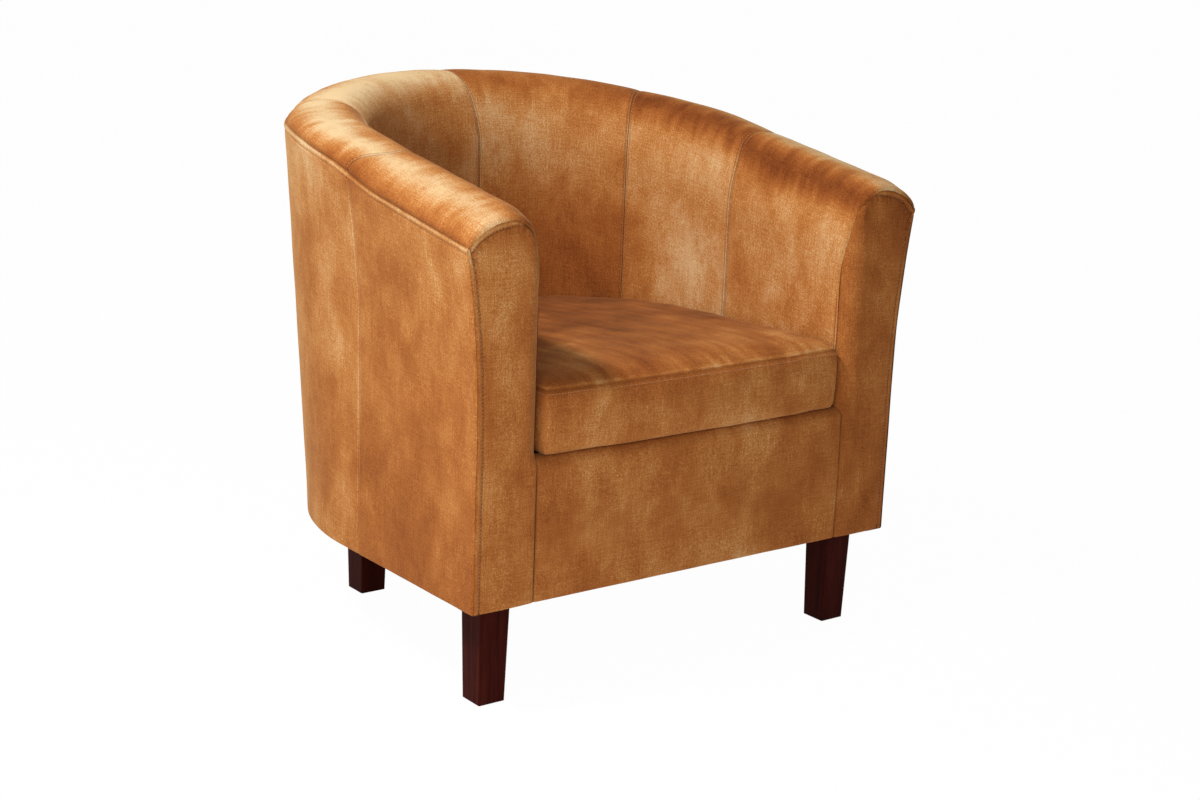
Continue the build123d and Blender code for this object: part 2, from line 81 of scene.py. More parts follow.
# %% Sizes of the tub
MM = 0.001
rim_radius = cad_high[0]
front_y = cad_low[1]
turn_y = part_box("outside_back_cover")[0][1]
hem_hang = 3 * MM
body_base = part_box("outside_back_cover")[0][2] - hem_hang
deck_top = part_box("deck_cloth")[1][2]
inside_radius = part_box("inside_arm_cover_right")[0][0]
apron_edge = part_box("apron_cover")[1][0]

rim_seam_z = 582 * MM
crest_inset, crest_rise = 58 * MM, 30 * MM
shoulder_inset, shoulder_drop = 44 * MM, 28 * MM
side_tuck, flare_drop = 20 * MM, 230 * MM
back_climb = 100 * MM

crest_radius = rim_radius - crest_inset
crest_z = rim_seam_z + crest_rise
base_radius = rim_radius - side_tuck
quarter = crest_radius * math.pi / 2
slope = back_climb / (turn_y - front_y + crest_radius)
print(f"rim {rim_radius:.3f} crest {crest_radius:.3f} inside {inside_radius:.3f} slope {slope:.4f}")

# %% [markdown]
# The camera stands where the photographer stood. Its place, turn and lens come from lining up the corners
# of the legs, the arm fronts and the cushion with the picture. A camera looks along its own -Z, so its
# matrix has the picture's right, the picture's up and the way back to the photographer as columns.

# %% Camera
camera_place = Vector((-1.6084, -2.2359, 0.9914))
camera_yaw, camera_pitch, camera_roll = (math.radians(a) for a in (37.3224, 14.3635, 2.2149))
camera_lens, camera_sensor = 60.98, 36.0

ahead = Vector((math.sin(camera_yaw) * math.cos(camera_pitch), math.cos(camera_yaw) * math.cos(camera_pitch),
                -math.sin(camera_pitch)))
level_right = Vector((math.cos(camera_yaw), -math.sin(camera_yaw), 0))
level_up = level_right.cross(ahead)
picture_right = math.cos(camera_roll) * level_right + math.sin(camera_roll) * level_up
picture_up = math.cos(camera_roll) * level_up - math.sin(camera_roll) * level_right

camera_data = bpy.data.cameras.new("photo_camera")
camera_data.lens, camera_data.sensor_width = camera_lens, camera_sensor
camera_data.sensor_fit = "HORIZONTAL"
camera = bpy.data.objects.new("photo_camera", camera_data)
turned = Matrix((picture_right, picture_up, -ahead)).transposed().to_4x4()
camera.matrix_world = Matrix.Translation(camera_place) @ turned
bpy.context.collection.objects.link(camera)
bpy.context.scene.camera = camera
print("camera looks along", np.round(ahead, 3))

# %% [markdown]
# A material is a small network of nodes. Most of this script's networks are a coordinate, a few noises and
# a blend, so short helpers keep them readable: they make a node and fill or link its sockets, do a sum,
# read a noise, raise the surface by a value, and turn a colour as a screen shows it into the linear light
# that a shader works in.

# %% Material helpers
def fill(tree, made, **sockets):
    """Fill a node's sockets: each gets a value, or a link if it is given another node's socket. A name such
    as i0 is a socket's number, and in any other name an underscore stands for a space."""
    for name, value in sockets.items():
        key = int(name[1:]) if name[1:].isdigit() else name.replace("_", " ")
        if isinstance(value, bpy.types.NodeSocket):
            tree.links.new(value, made.inputs[key])
        else:
            made.inputs[key].default_value = value


def node(tree, kind, **sockets):
    """A new node with its sockets filled."""
    made = tree.nodes.new(kind)
    fill(tree, made, **sockets)
    return made


def maths(tree, operation, a, b=0.0):
    """The socket of one sum or product of two values."""
    made = node(tree, "ShaderNodeMath", i0=a, i1=b)
    made.operation = operation
    return made.outputs[0]


def in_object(tree):
    """The shaded point's place in the object's own metres."""
    return node(tree, "ShaderNodeTexCoord").outputs["Object"]


def noise(tree, place, scale, detail=2.0, bend=0.0, stretch=None):
    """A noise of 0 to 1 read at a place, whose axes are first multiplied by a stretch if one is given."""
    if stretch:
        place = node(tree, "ShaderNodeMapping", Vector=place, Scale=stretch).outputs[0]
    made = node(tree, "ShaderNodeTexNoise", Vector=place, Scale=scale, Detail=detail, Distortion=bend)
    return made.outputs["Fac"]


def raised(tree, height, strength, depth):
    """The surface's direction when a value of 0 to 1 raises it by up to a depth, times a strength."""
    return node(tree, "ShaderNodeBump", Strength=strength, Distance=depth, Height=height).outputs[0]


def finish_named(name):
    """A new material with its node tree and shader: (material, tree, shader)."""
    material = bpy.data.materials.new(name)
    material.use_nodes = True
    return material, material.node_tree, material.node_tree.nodes["Principled BSDF"]


def screen(red, green, blue):
    """A screen colour of 0 to 255 as linear light: each part over 255, plus 0.055, over 1.055, to the
    power 2.4."""
    return tuple(((c / 255 + 0.055) / 1.055) ** 2.4 for c in (red, green, blue)) + (1.0,)


def ramp(tree, value, *stops):
    """A colour ramp through stops of (place, colour), read at a value."""
    made = node(tree, "ShaderNodeValToRGB", Fac=value)
    band = made.color_ramp
    while len(band.elements) < len(stops):
        band.elements.new(0.5)
    for element, (place, colour) in zip(band.elements, stops):
        element.position, element.color = place, colour
    return made.outputs["Color"]


print("white as linear light:", screen(255, 255, 255))

# %% [markdown]
# The picture has a bare white background. The floor and the sky are pure white only to the camera and to
# mirrors, and an ordinary pale grey to the light that falls on the chair, so the white costs the velvet
# nothing. The floor's white is mixed with a real white surface, which keeps a soft shadow under the legs.

# %% Floor and sky
pure_white = (1, 1, 1, 1)
floor_half, floor_glow = 30.0, 0.98
sky_light = 0.26


def seen_directly(tree):
    """1 for rays from the camera, or by way of a mirror or glass, and 0 for light that falls on things."""
    path = node(tree, "ShaderNodeLightPath")
    mirror = maths(tree, "MAXIMUM", path.outputs["Is Glossy Ray"], path.outputs["Is Transmission Ray"])
    return maths(tree, "MAXIMUM", path.outputs["Is Camera Ray"], mirror)


floor_mesh = bpy.data.meshes.new("floor")
corners = np.array([[-1, -1, 0], [1, -1, 0], [1, 1, 0], [-1, 1, 0]]) * floor_half
floor_mesh.from_pydata(corners.tolist(), [], [(0, 1, 2, 3)])
floor = bpy.data.objects.new("floor", floor_mesh)
bpy.context.collection.objects.link(floor)
floor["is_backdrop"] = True
floor_material, tree, shader = finish_named("white_floor")
fill(tree, shader, Base_Color=screen(240, 240, 240), Roughness=0.9)
glow = node(tree, "ShaderNodeEmission", Color=pure_white, Strength=1.0)
glow_share = maths(tree, "MULTIPLY", seen_directly(tree), floor_glow)
floor_mix = node(tree, "ShaderNodeMixShader", i0=glow_share, i1=shader.outputs[0], i2=glow.outputs[0])
fill(tree, tree.nodes["Material Output"], Surface=floor_mix.outputs[0])
floor_mesh.materials.append(floor_material)

world = bpy.data.worlds.new("studio")
bpy.context.scene.world = world
world.use_nodes = True
tree = world.node_tree
plain = tree.nodes["Background"]
fill(tree, plain, Color=pure_white, Strength=sky_light)
white = node(tree, "ShaderNodeBackground", Color=pure_white, Strength=1.0)
sky_mix = node(tree, "ShaderNodeMixShader", i0=seen_directly(tree), i1=plain.outputs[0],
               i2=white.outputs[0])
fill(tree, tree.nodes["World Output"], Surface=sky_mix.outputs[0])
bpy.context.scene.view_settings.view_transform = "Standard"
print("sky gives", sky_light)

# %% [markdown]
# One lamp high on the left makes the pale band along the rolled rim and the dark corner that the left arm
# throws on the cushion. It is fairly small, because a small lamp gives a shadow a clear edge. A weak,
# larger one stands close to the chair's left front corner, so its light falls off across the front, which
# is darker on the right.

# %% Studio lamps
def lamp(name, place, aim, size, power):
    """A square lamp of one side length, placed and aimed at a point."""
    data = bpy.data.lights.new(name, "AREA")
    data.shape, data.size, data.energy = "SQUARE", size, power
    made = bpy.data.objects.new(name, data)
    made.location = place
    made.rotation_euler = (Vector(aim) - Vector(place)).to_track_quat("-Z", "Y").to_euler()
    made.visible_camera = False
    bpy.context.collection.objects.link(made)


seat_middle, apron_middle = (0, -0.05, 0.4), (-0.1, -0.34, 0.3)
lamp("key_lamp", (-1.88, -0.11, 2.98), seat_middle, size=0.3, power=92)
lamp("fill_lamp", (-1.1, -1.3, 0.75), apron_middle, size=0.7, power=8.2)
print("lamps:", [light.name for light in bpy.data.lights])

# %% [markdown]
# Crushed velvet is a pile of short upright threads that lie over in different directions. Where they lean
# towards you, you look into the pile and see the dark, saturated root of the colour, and where they lean
# away you see pale, shining sides. So the colour wanders in cloudy patches, in soft streaks down the length
# of the cloth and in fine thread lines, and the shader's sheen adds the bright rim of a pile seen edge on.
# The streaks follow the panel's own width and length, which every panel carries as its UV map in metres. The
# nap attribute shifts a whole panel, partly because each one is cut with its pile a little different and
# partly as painted light, set to the light that falls on each panel. It also carries the painted highlights
# and painted shade laid along the roll, the bands and the seams. The crease attribute is painted shade: it
# darkens the root of a seam, the groove under a stitch row and the folds of a pleat towards a dark root
# colour.

# %% Velvet
velvet_tones = ((0.0, screen(98, 46, 18)), (0.24, screen(134, 72, 31)), (0.46, screen(162, 95, 44)),
                (0.64, screen(186, 125, 67)), (1.0, screen(222, 192, 146)))
# The dark colour that painted shade blends towards in seams, stitch grooves and pleats.
crease_shade_colour = screen(88, 44, 16)
velvet_middle = 0.5


def attribute(tree, name):
    """The value of a mesh attribute at the shaded point."""
    made = node(tree, "ShaderNodeAttribute")
    made.attribute_name = name
    return made.outputs["Fac"]


def velvet():
    """The velvet: tone is a weighted sum of clouds, patches, streaks, threads and grain about a middle value,
    plus the pile's tone with its painted light, read from a mesh attribute. A ramp turns the tone into a
    colour, and an attribute of painted shade in the seams blends that into the dark root colour."""
    material, tree, shader = finish_named("golden_velvet")
    placed = in_object(tree)
    cloth = node(tree, "ShaderNodeUVMap")
    cloth.uv_map = "cloth"
    along = cloth.outputs["UV"]
    clouds = noise(tree, placed, 8.0, detail=5.0, bend=0.5, stretch=(1, 1, 0.75))
    patches = noise(tree, placed, 26.0, detail=4.0, bend=0.4, stretch=(1, 1, 0.7))
    streaks = noise(tree, along, 9.0, detail=3.0, bend=0.25, stretch=(12, 0.9, 1))
    warp = noise(tree, along, 60.0, detail=1.0, stretch=(10, 0.6, 1))
    weft = noise(tree, along, 60.0, detail=1.0, stretch=(0.6, 10, 1))
    grain = noise(tree, placed, 620.0)

    tone = maths(tree, "ADD", attribute(tree, "nap"), velvet_middle)
    for value, weight in ((clouds, 0.66), (patches, 0.38), (streaks, 0.10),
                          (warp, 0.22), (weft, 0.20), (grain, 0.66)):
        about_middle = maths(tree, "SUBTRACT", value, velvet_middle)
        tone = maths(tree, "ADD", tone, maths(tree, "MULTIPLY", about_middle, weight))
    shaded = node(tree, "ShaderNodeMix", i0=attribute(tree, "crease"))
    shaded.data_type = "RGBA"
    fill(tree, shaded, i6=ramp(tree, tone, *velvet_tones), i7=crease_shade_colour)
    threads = maths(tree, "ADD", maths(tree, "MULTIPLY", warp, 0.6), maths(tree, "MULTIPLY", weft, 0.5))
    pile = maths(tree, "ADD", threads, patches)
    fill(tree, shader, Base_Color=shaded.outputs[2], Normal=raised(tree, pile, 0.35, 0.8 * MM),
         Roughness=0.85, Specular_IOR_Level=0.06, Sheen_Weight=0.2, Sheen_Roughness=0.38,
         Sheen_Tint=(1.0, 0.74, 0.38, 1.0))
    return material


golden_velvet = velvet()
print("velvet nodes:", len(golden_velvet.node_tree.nodes))

# %% [markdown]
# Every panel is laid the same way: a grid of points, four neighbours to a face. The helper also writes the
# cloth's own coordinates, the nap with its painted light and the painted crease shade into the mesh. Whole
# arrays go in at once, which is both shorter and far quicker than visiting each point.

# %% Laying a grid of points as cloth
def write_attribute(mesh, label, values):
    """One number for each point of a mesh, under a name that a material can read."""
    flat = np.asarray(values, dtype=np.float32).ravel()
    mesh.attributes.new(label, "FLOAT", "POINT").data.foreach_set("value", flat)


def write_cloth_map(mesh, flat):
    """The cloth's own coordinates, one pair for each point, as the UV map of every face corner."""
    loops = np.empty(len(mesh.loops), dtype=np.int32)
    mesh.loops.foreach_get("vertex_index", loops)
    mesh.uv_layers.new(name="cloth").data.foreach_set("uv", flat[loops].astype(np.float32).ravel())


def smooth_faces(mesh):
    """Every face shaded as part of one soft surface."""
    mesh.polygons.foreach_set("use_smooth", np.ones(len(mesh.polygons), dtype=bool))


def lay_cloth(name, points, cloth_u, cloth_v, nap=0.0, crease=0.0, flip=False, weld=0.0):
    """Rows and columns of points become quads of four neighbours. weld merges points closer than that."""
    rows, columns = points.shape[:2]
    index = np.arange(rows * columns).reshape(rows, columns)
    ring = [index[:-1, :-1], index[:-1, 1:], index[1:, 1:], index[1:, :-1]]
    faces = np.stack(ring[::-1] if flip else ring, axis=-1).reshape(-1, 4)
    mesh = bpy.data.meshes.new(name)
    mesh.from_pydata(points.reshape(-1, 3).tolist(), [], faces.tolist())
    flat = np.stack(np.broadcast_arrays(cloth_u, cloth_v, points[..., 0])[:2], axis=-1)
    write_cloth_map(mesh, flat.reshape(-1, 2))
    write_attribute(mesh, "nap", np.broadcast_to(nap, (rows, columns)))
    write_attribute(mesh, "crease", np.broadcast_to(crease, (rows, columns)))
    if weld:
        work = bmesh.new()
        work.from_mesh(mesh)
        bmesh.ops.remove_doubles(work, verts=work.verts, dist=weld)
        work.to_mesh(mesh)
        work.free()
    smooth_faces(mesh)
    mesh.materials.append(golden_velvet)
    made = bpy.data.objects.new(name, mesh)
    bpy.context.collection.objects.link(made)
    return made


print("a panel's mesh carries: cloth (UV map), nap and crease")

# %% [markdown]
# Cloth is mostly shaped by a few plain curves: a smooth step where one shape passes into another, a bell
# where thread presses a groove, a fading dip beside a seam, and uneven waves where it lies loosely. They are
# written once here, and every panel below is a sum of them.

# %% Curves that shape cloth
seam_steps = np.array([0, 0.4, 0.9, 1.5, 2.1, 2.7, 3.2, 3.8, 4.6, 5.6, 6.6, 7.4, 8.2, 9.0, 9.8, 11, 12.5,
                       14.5]) * MM
wave_count = 7


def ease(x):
    """0 below 0 and 1 above 1, with a smooth rise between: x squared times (3 - 2x)."""
    x = np.clip(x, 0, 1)
    return x * x * (3 - 2 * x)


def bell(distance, width):
    """1 at no distance, and e to the minus (distance over width) squared further out."""
    return np.exp(-(distance / width)**2)


def fade(distance, width):
    """1 at no distance, dying away by e for each width."""
    return np.exp(-distance / width)


def valley(distance, depth, width):
    """How far cloth dips at a distance from a seam: the depth, dying away by e for each width."""
    return depth * fade(np.abs(distance), width)


def ripple(a, b, size, seed):
    """Uneven waves of about one size over two lengths: the mean of seven sines, each with its own way and
    beat."""
    chance = np.random.default_rng(seed)
    a, b = np.broadcast_arrays(a, b)
    total = np.zeros(a.shape)
    ways, beats, starts = (chance.uniform(low, high, wave_count)
                           for low, high in ((0, math.pi), (0.6, 1.7), (0, 9)))
    for way, beat, start in zip(ways, beats, starts):
        total += np.sin(2 * math.pi * beat / size * (a * math.cos(way) + b * math.sin(way)) + start)
    return total / wave_count


def spaced(length, step):
    """Places along a length from 0 to 1: close together near both ends, where seams are, and a step apart
    between."""
    near = seam_steps
    middle = np.linspace(near[-1], length - near[-1], max(int(length / step), 2))
    return np.unique(np.round(np.concatenate([near, middle, length - near]), 6)) / length


print("a seam 2 mm deep, 4 mm away:", round(valley(4.0, 2.0, 4.0), 2), "mm")

# %% [markdown]
# The wall of the tub is a section carried along a path. The path runs along the crest of the rim: round a
# half circle behind the seat and straight forward along each arm. The section starts at the seam under the
# outside of the rim, rolls over the top and goes down inside: three arcs that each start the way the last
# one ended, then straight down.

# %% Path and section of the wall
outer_arc = (crest_inset**2 + crest_rise**2) / (2 * crest_rise)
shoulder_arc = (shoulder_inset**2 + shoulder_drop**2) / (2 * shoulder_drop)
first_angle = math.atan2(outer_arc - crest_rise, crest_inset)
shoulder_angle = math.pi / 2 + math.atan2(shoulder_inset, shoulder_arc - shoulder_drop)
inside_arc = (crest_radius - shoulder_inset - inside_radius) / (1 + math.cos(shoulder_angle))
inside_arc_z = crest_z - shoulder_drop - inside_arc * math.sin(shoulder_angle)
roll_1 = outer_arc * (math.pi / 2 - first_angle)
roll_2 = roll_1 + shoulder_arc * (shoulder_angle - math.pi / 2)
roll_3 = roll_2 + inside_arc * (math.pi - shoulder_angle)
shoulder_at, shoulder_spread, shoulder_pad = 92 * MM, 30 * MM, 3 * MM


def climb(y):
    """How much the rim has risen at a depth: the slope times the distance behind the front."""
    return slope * (y - front_y)


def plan(s, r):
    """x and y at a distance s along the crest from the middle of the back, r out from the middle line. Up
    to a quarter turn each way the point goes round by the angle s over the crest's radius, then it goes
    straight on."""
    turn = np.clip(s / crest_radius, -math.pi / 2, math.pi / 2)
    onward = np.maximum(np.abs(s) - quarter, 0)
    return r * np.sin(turn), turn_y + r * np.cos(turn) - onward


def shoulder_fill(t):
    """A bell curve over the inner shoulder of the roll, where the padding is thickest."""
    return bell(t - shoulder_at, shoulder_spread)


def roll_section(t):
    """The section at a length t of cloth from the rim seam: (r, z, way out in r, way out in z). On each arc
    the angle is its first angle plus length over radius, and the point is the arc's centre plus the radius
    times (cos, sin) of the angle. The padding adds a little to the radius over the shoulder."""
    on_outer, on_shoulder, on_inside = t < roll_1, t < roll_2, t < roll_3
    angle = np.select([on_outer, on_shoulder, on_inside],
                      [first_angle + t / outer_arc, math.pi / 2 + (t - roll_1) / shoulder_arc,
                       shoulder_angle + (t - roll_2) / inside_arc], math.pi)
    arc = np.select([on_outer, on_shoulder], [outer_arc, shoulder_arc], inside_arc)
    arc = arc + shoulder_pad * shoulder_fill(t)
    middle_r = np.where(on_shoulder, crest_radius, inside_radius + inside_arc)
    middle_z = np.select([on_outer, on_shoulder], [crest_z - outer_arc, crest_z - shoulder_arc],
                         inside_arc_z)
    out_r, out_z = np.cos(angle), np.sin(angle)
    return middle_r + arc * out_r, middle_z + arc * out_z - np.maximum(t - roll_3, 0), out_r, out_z


def cloth_down_to(z):
    """The length of cloth from the rim seam down to a height inside the tub. On the last arc the angle is pi
    less the arc sine of the height above its centre over its radius, and below that the cloth is straight."""
    rise = np.arcsin(np.clip((z - inside_arc_z) / inside_arc, 0, 1))
    on_arc = roll_2 + inside_arc * (math.pi - shoulder_angle - rise)
    return np.where(z > inside_arc_z, on_arc, roll_3 + inside_arc_z - z)


print(f"roll: {roll_1:.4f} to the crest, {roll_2:.4f} to the shoulder, {roll_3:.4f} to the upright face")

# %% [markdown]
# Three things change along the wall. Its front edge is rounded, hardly at all over the roll and softly down
# the inside of the arm, and the seam of the arm's front panel follows that edge. Round the back the padding
# lies differently from the arms. And the two sides of a hand-built chair differ a little: the rim seam runs
# higher where the left arm turns into the back.

# %% Edges and sides of the wall
rim_swell, left_rise = 11.5 * MM, 11 * MM


def edge_round(t):
    """Radius of the wall's front edge: 6 mm over the roll, rising to 30 mm down the inside of the arm."""
    return (6 + 24 * ease((t - 85 * MM) / (110 * MM))) * MM


def facing_setback(t):
    """How far the facing's seam lies behind the front: half a millimetre over the roll, and 8 mm and then
    14 mm more where it goes round the edge inside the arm."""
    return (0.5 + 8 * ease((t - 100 * MM) / (30 * MM)) + 14 * ease((t - 120 * MM) / (120 * MM))) * MM


def rounded(behind, radius):
    """How far a rounded edge draws in at a distance behind the front: radius less the rest of the quarter
    circle."""
    rest = np.maximum(radius - behind, 0)
    return radius - np.sqrt(np.maximum(radius**2 - rest**2, 0))


def back_share(s):
    """0 along the arms, rising smoothly to 1 from the corners round the back: between 88 and 56 degrees
    from the middle."""
    return ease((88 - np.degrees(np.abs(s) / crest_radius)) / 32)


def rim_lift(s):
    """How much higher the rim seam runs where the left arm turns into the back: up over the last 130 mm of
    the arm, and down again behind, between 76 and 50 degrees from the middle."""
    turn = np.degrees(-s / crest_radius)
    return left_rise * ease((quarter + 120 * MM + s) / (130 * MM)) * ease((turn - 50) / 26)


print(f"front edge inside the arm: {edge_round(1.0) / MM:.0f} mm round")

# %% [markdown]
# Six panels line the inside: two arms, two corners and two halves of the back, each running over the roll
# to the seam under its outside edge. Where panels meet, the cloth is drawn down into the padding and
# stitched on both sides, so every seam is a shallow valley with a sharp root. Short gathers stand square to
# the rim seam, because the roll's outer edge is shorter than the cloth that is turned over it. The seams
# lean forward a little on their way down the arms, as they do on the real chair.

# %% Inside cloth
SIDES = (("left", -1), ("right", 1))
seam_rest = np.array([-518, -262, 2, 296, 518]) * MM
seam_lean = np.array([-23, -50, 33, 13, 23]) * MM
seam_reach = np.array([roll_1, roll_2, roll_3, roll_3, roll_1])
front_run = quarter + turn_y - front_y
lining_end = deck_top - 3 * MM

# Depth and width of the valleys that cloth makes at a seam: a sharp root, and the wider pull around it.
panel_root, panel_pull = (1.6 * MM, 1.2 * MM), (1.4 * MM, 20 * MM)
rim_root, rim_pull = (2.6 * MM, 2.2 * MM), (1.6 * MM, 8 * MM)
facing_root = (2.6 * MM, 1.7 * MM)
seam_stitch, stitch_press, thread_width = 3.2 * MM, 0.7 * MM, 0.8 * MM
top_row, top_press = 7.8 * MM, 0.6 * MM
cloth_lift, gather_height, wave_height, pucker_height = 1.0 * MM, 1.1 * MM, 0.8 * MM, 0.7 * MM
arm_fullness, back_flatness, shoulder_fullness = 3.8 * MM, 4.8 * MM, 5.0 * MM


def seams_at(t):
    """Where the five seams are along the path after a length t of cloth: each leans over smoothly down the
    roll."""
    return seam_rest + seam_lean * ease(np.asarray(t)[..., None] / seam_reach)


def from_panel_seam(s, t):
    """Distance along the path to the nearest of the five seams."""
    return np.min(np.abs(s[..., None] - seams_at(t)), axis=-1)


def inside_lift(s, t, behind):
    """How far the inside cloth stands out of the plain section: a slight swell less the valleys at the
    seams, fullness over the roll that fades towards the facing, gathers that die away from the rim, slow
    waves, and the rounded front edge."""
    nearest, from_facing = from_panel_seam(s, t), behind - facing_setback(t)
    lift = cloth_lift - valley(nearest, *panel_root) - valley(nearest, *panel_pull)
    lift -= stitch_press * bell(nearest - seam_stitch, thread_width)
    lift -= valley(t, *rim_root) + valley(t, *rim_pull)
    over_roll = np.sin(math.pi * np.clip(t / roll_1, 0, 1)**0.7)
    stuffed = (arm_fullness - back_flatness * back_share(s)) * over_roll
    stuffed = stuffed + shoulder_fullness * (1 - back_share(s)) * shoulder_fill(t)
    lift += stuffed * ease(from_facing / (32 * MM))
    lift += gather_height * fade(t, 20 * MM) * ripple(s, 0.3 * t, 15 * MM, seed=4)
    lift += wave_height * ripple(s, t, 90 * MM, seed=9) * (1 - fade(nearest, 30 * MM))
    lift += pucker_height * fade(np.abs(behind), 14 * MM) * ripple(t, s, 12 * MM, seed=5)
    lift -= valley(from_facing, *facing_root)
    lift -= top_press * bell(from_facing - top_row, 1.0 * MM) * ease((t - 95 * MM) / (30 * MM))
    return lift - rounded(behind, edge_round(t))


def inside_surface(s, t):
    """A point of the inside cloth: path and section, moved out of the padding by the cloth's lift. Near the
    rim seam the section also swells round the back and rises on the left."""
    r, z, out_r, out_z = roll_section(t)
    _, y = plan(s, r)
    lift = inside_lift(s, t, np.where(np.abs(s) > quarter, y - front_y, 1.0))
    near_rim = 1 - ease(t / (1.1 * roll_1))
    r = r + lift * out_r + rim_swell * back_share(s) * near_rim
    z = z + lift * out_z + rim_lift(s) * near_rim
    x, y = plan(s, r)
    return np.stack([x, y, z + climb(y)], axis=-1)


def inside_grid(first, last, step=4 * MM):
    """The grid of one panel between two seams, numbered 0 to 6 with the arm fronts as the outer two: (s, t).
    Rows run over the roll with close steps at the rim seam, then evenly down to the deck."""
    rows_down = 44
    over_roll = spaced(roll_3, step)[:1 - len(seam_steps)]
    q = np.concatenate([over_roll, 1 + np.linspace(0, 1, rows_down)[1:]])[:, None]
    t = np.minimum(q, 1) * roll_3
    front = front_run - facing_setback(t)
    ends = np.concatenate([-front, seams_at(t)[:, 0], front], axis=1)
    start, end = ends[:, first:first + 1], ends[:, last:last + 1]
    s = start + (end - start) * spaced(float(np.mean(end - start)), step)[None, :]
    _, y = plan(s, inside_radius)
    down = inside_arc_z - (lining_end - climb(y))
    return s, np.broadcast_to(t, s.shape) + np.maximum(q - 1, 0) * down


print(f"inside seams at the rim: {np.round(seams_at(0.0), 3)}")

# %% [markdown]
# The same panels get their tone here, with painted light. Along the outer half of the roll, where the lamp
# catches the crest, a painted highlight makes the cloth pale, and over the shoulder painted shade makes it
# dark, in a different measure on each panel; the pile brushed over the roll adds to both. The bands are
# written as the nap attribute, which costs nothing and follows the cloth wherever it goes.

# %% Inside panels
# Each panel's first and last seam, its nap, which is the pile's tone together with painted light set panel by
# panel, and its bands of painted light: how pale the highlight is and where, then how dark the shade is and
# where, in millimetres of cloth from the rim seam.
inside_panels = {"inside_arm_left": (0, 1, 0.02, 0.34, 48, 0.18, 98),
                 "inside_corner_left": (1, 2, 0.04, 0.42, 46, 0.04, 96),
                 "inside_back_left": (2, 3, 0.12, 0.40, 66, 0.0, 96),
                 "inside_back_right": (3, 4, 0.13, -0.18, 42, 0.22, 92),
                 "inside_corner_right": (4, 5, 0.20, -0.06, 42, 0.52, 96),
                 "inside_arm_right": (5, 6, 0.12, 0.26, 56, 0.50, 110)}
padding_behind = {"inside_arm_left": ["arm_foam_left"], "inside_arm_right": ["arm_foam_right"],
                  "inside_back_left": ["back_foam"]}


def roll_light_and_shade(s, t, pale, pale_at, dark, dark_at):
    """Painted light over the roll, brushed like the pile: a painted highlight along its outer half, painted
    shade over the shoulder in brush-like streaks, and painted shade where it turns down to the rim seam and,
    round the back, towards the seat. The bands are bell curves over the length of cloth."""
    brushed = t + 10 * MM * ripple(s, 0 * s, 16 * MM, seed=71) + 7 * MM * ripple(s, 0 * s, 60 * MM, seed=72)
    outer = pale * bell(brushed - pale_at * MM, 0.52 * pale_at * MM)
    shoulder = dark * bell(brushed - dark_at * MM, 24 * MM)
    low = 0.26 * ease((t - 215 * MM) / (160 * MM)) * back_share(s)
    return outer - shoulder - low - 0.20 * fade(t, 16 * MM)


for name, (first, last, nap, *bands) in inside_panels.items():
    s, t = inside_grid(first, last)
    nearest = from_panel_seam(s, t)
    # Painted shade darkens the root of each seam, the rim seam and the groove under each stitch row, and a
    # painted highlight makes the ridge beside each seam pale.
    crease = 0.65 * fade(nearest, 0.9 * MM) + 0.8 * fade(t, 1.8 * MM)
    crease = crease + 0.6 * bell(nearest - seam_stitch, thread_width)
    ridge_highlight = 0.14 * bell(nearest - 0.5 * seam_stitch, thread_width)
    panel = lay_cloth("velvet_" + name, inside_surface(s, t), s, t, nap + roll_light_and_shade(s, t, *bands) + ridge_highlight,
                      np.clip(crease, 0, 0.85))
    place, side = name.rsplit("_", 1)
    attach(panel, "tub")
    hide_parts(f"{place}_cover_{side}", *padding_behind.get(name, []))
    print(panel.name, len(panel.data.polygons), "faces")

# %% [markdown]
# Outside, one wide panel wraps the back and one plain panel covers each arm. The cloth hangs from the rim
# seam, where its edge is folded and topstitched into a narrow band. It then falls to the underside, turns
# under and is stapled there. On the arms the wall stands upright and flares out below the rim along a large
# arc. Round the back it leans out in a straight line from the hem to the rim, and the corners pass smoothly
# from one to the other.

# %% Outside cloth
flare_arc = (flare_drop**2 + side_tuck**2) / (2 * side_tuck)
flare_start = rim_seam_z - flare_drop
hem_round, hem_turn = 2.5 * MM, 26 * MM
hem_bend = hem_round * math.pi / 2
band_width, band_swell, band_groove = 9 * MM, 0.9 * MM, 1.1 * MM
outside_seam = quarter + 46 * MM
outside_root, outside_pull = (1.3 * MM, 1.6 * MM), (1.2 * MM, 7 * MM)
side_round, side_setback, side_root = 5 * MM, 1.5 * MM, (0.8 * MM, 2 * MM)
back_hollow = 1.3 * MM
outside_wave, outside_gather = 0.7 * MM, 0.35 * MM


def side_radius(z):
    """The outside of the level wall at a height: upright, then flaring out along an arc that starts
    upright."""
    return base_radius + flare_arc - np.sqrt(flare_arc**2 - np.maximum(z - flare_start, 0)**2)


def hem(g):
    """Cloth past the straight part of a wall by a length g: (drop, way in). It goes round a quarter circle
    and then straight in under the seat."""
    angle = np.clip(g / hem_round, 0, math.pi / 2)
    under = np.maximum(g - hem_bend, 0)
    return hem_round * np.sin(angle), hem_round * (1 - np.cos(angle)) + under


def stitched_edge(distance, band=band_width, root=2.2 * MM):
    """Lift of a folded and topstitched edge at a distance from its seam: a dip at the seam, a low swell over
    the folded cloth, and a groove under the thread at the band's width. All but the dip fade out as the band
    narrows."""
    full = band / band_width
    swell = band_swell * full * np.sin(math.pi * np.clip(distance / np.maximum(band, 0.1 * MM), 0, 1))
    groove = band_swell * full * bell(distance - band, band_groove)
    return swell - groove - valley(distance, root, 1.5 * MM)


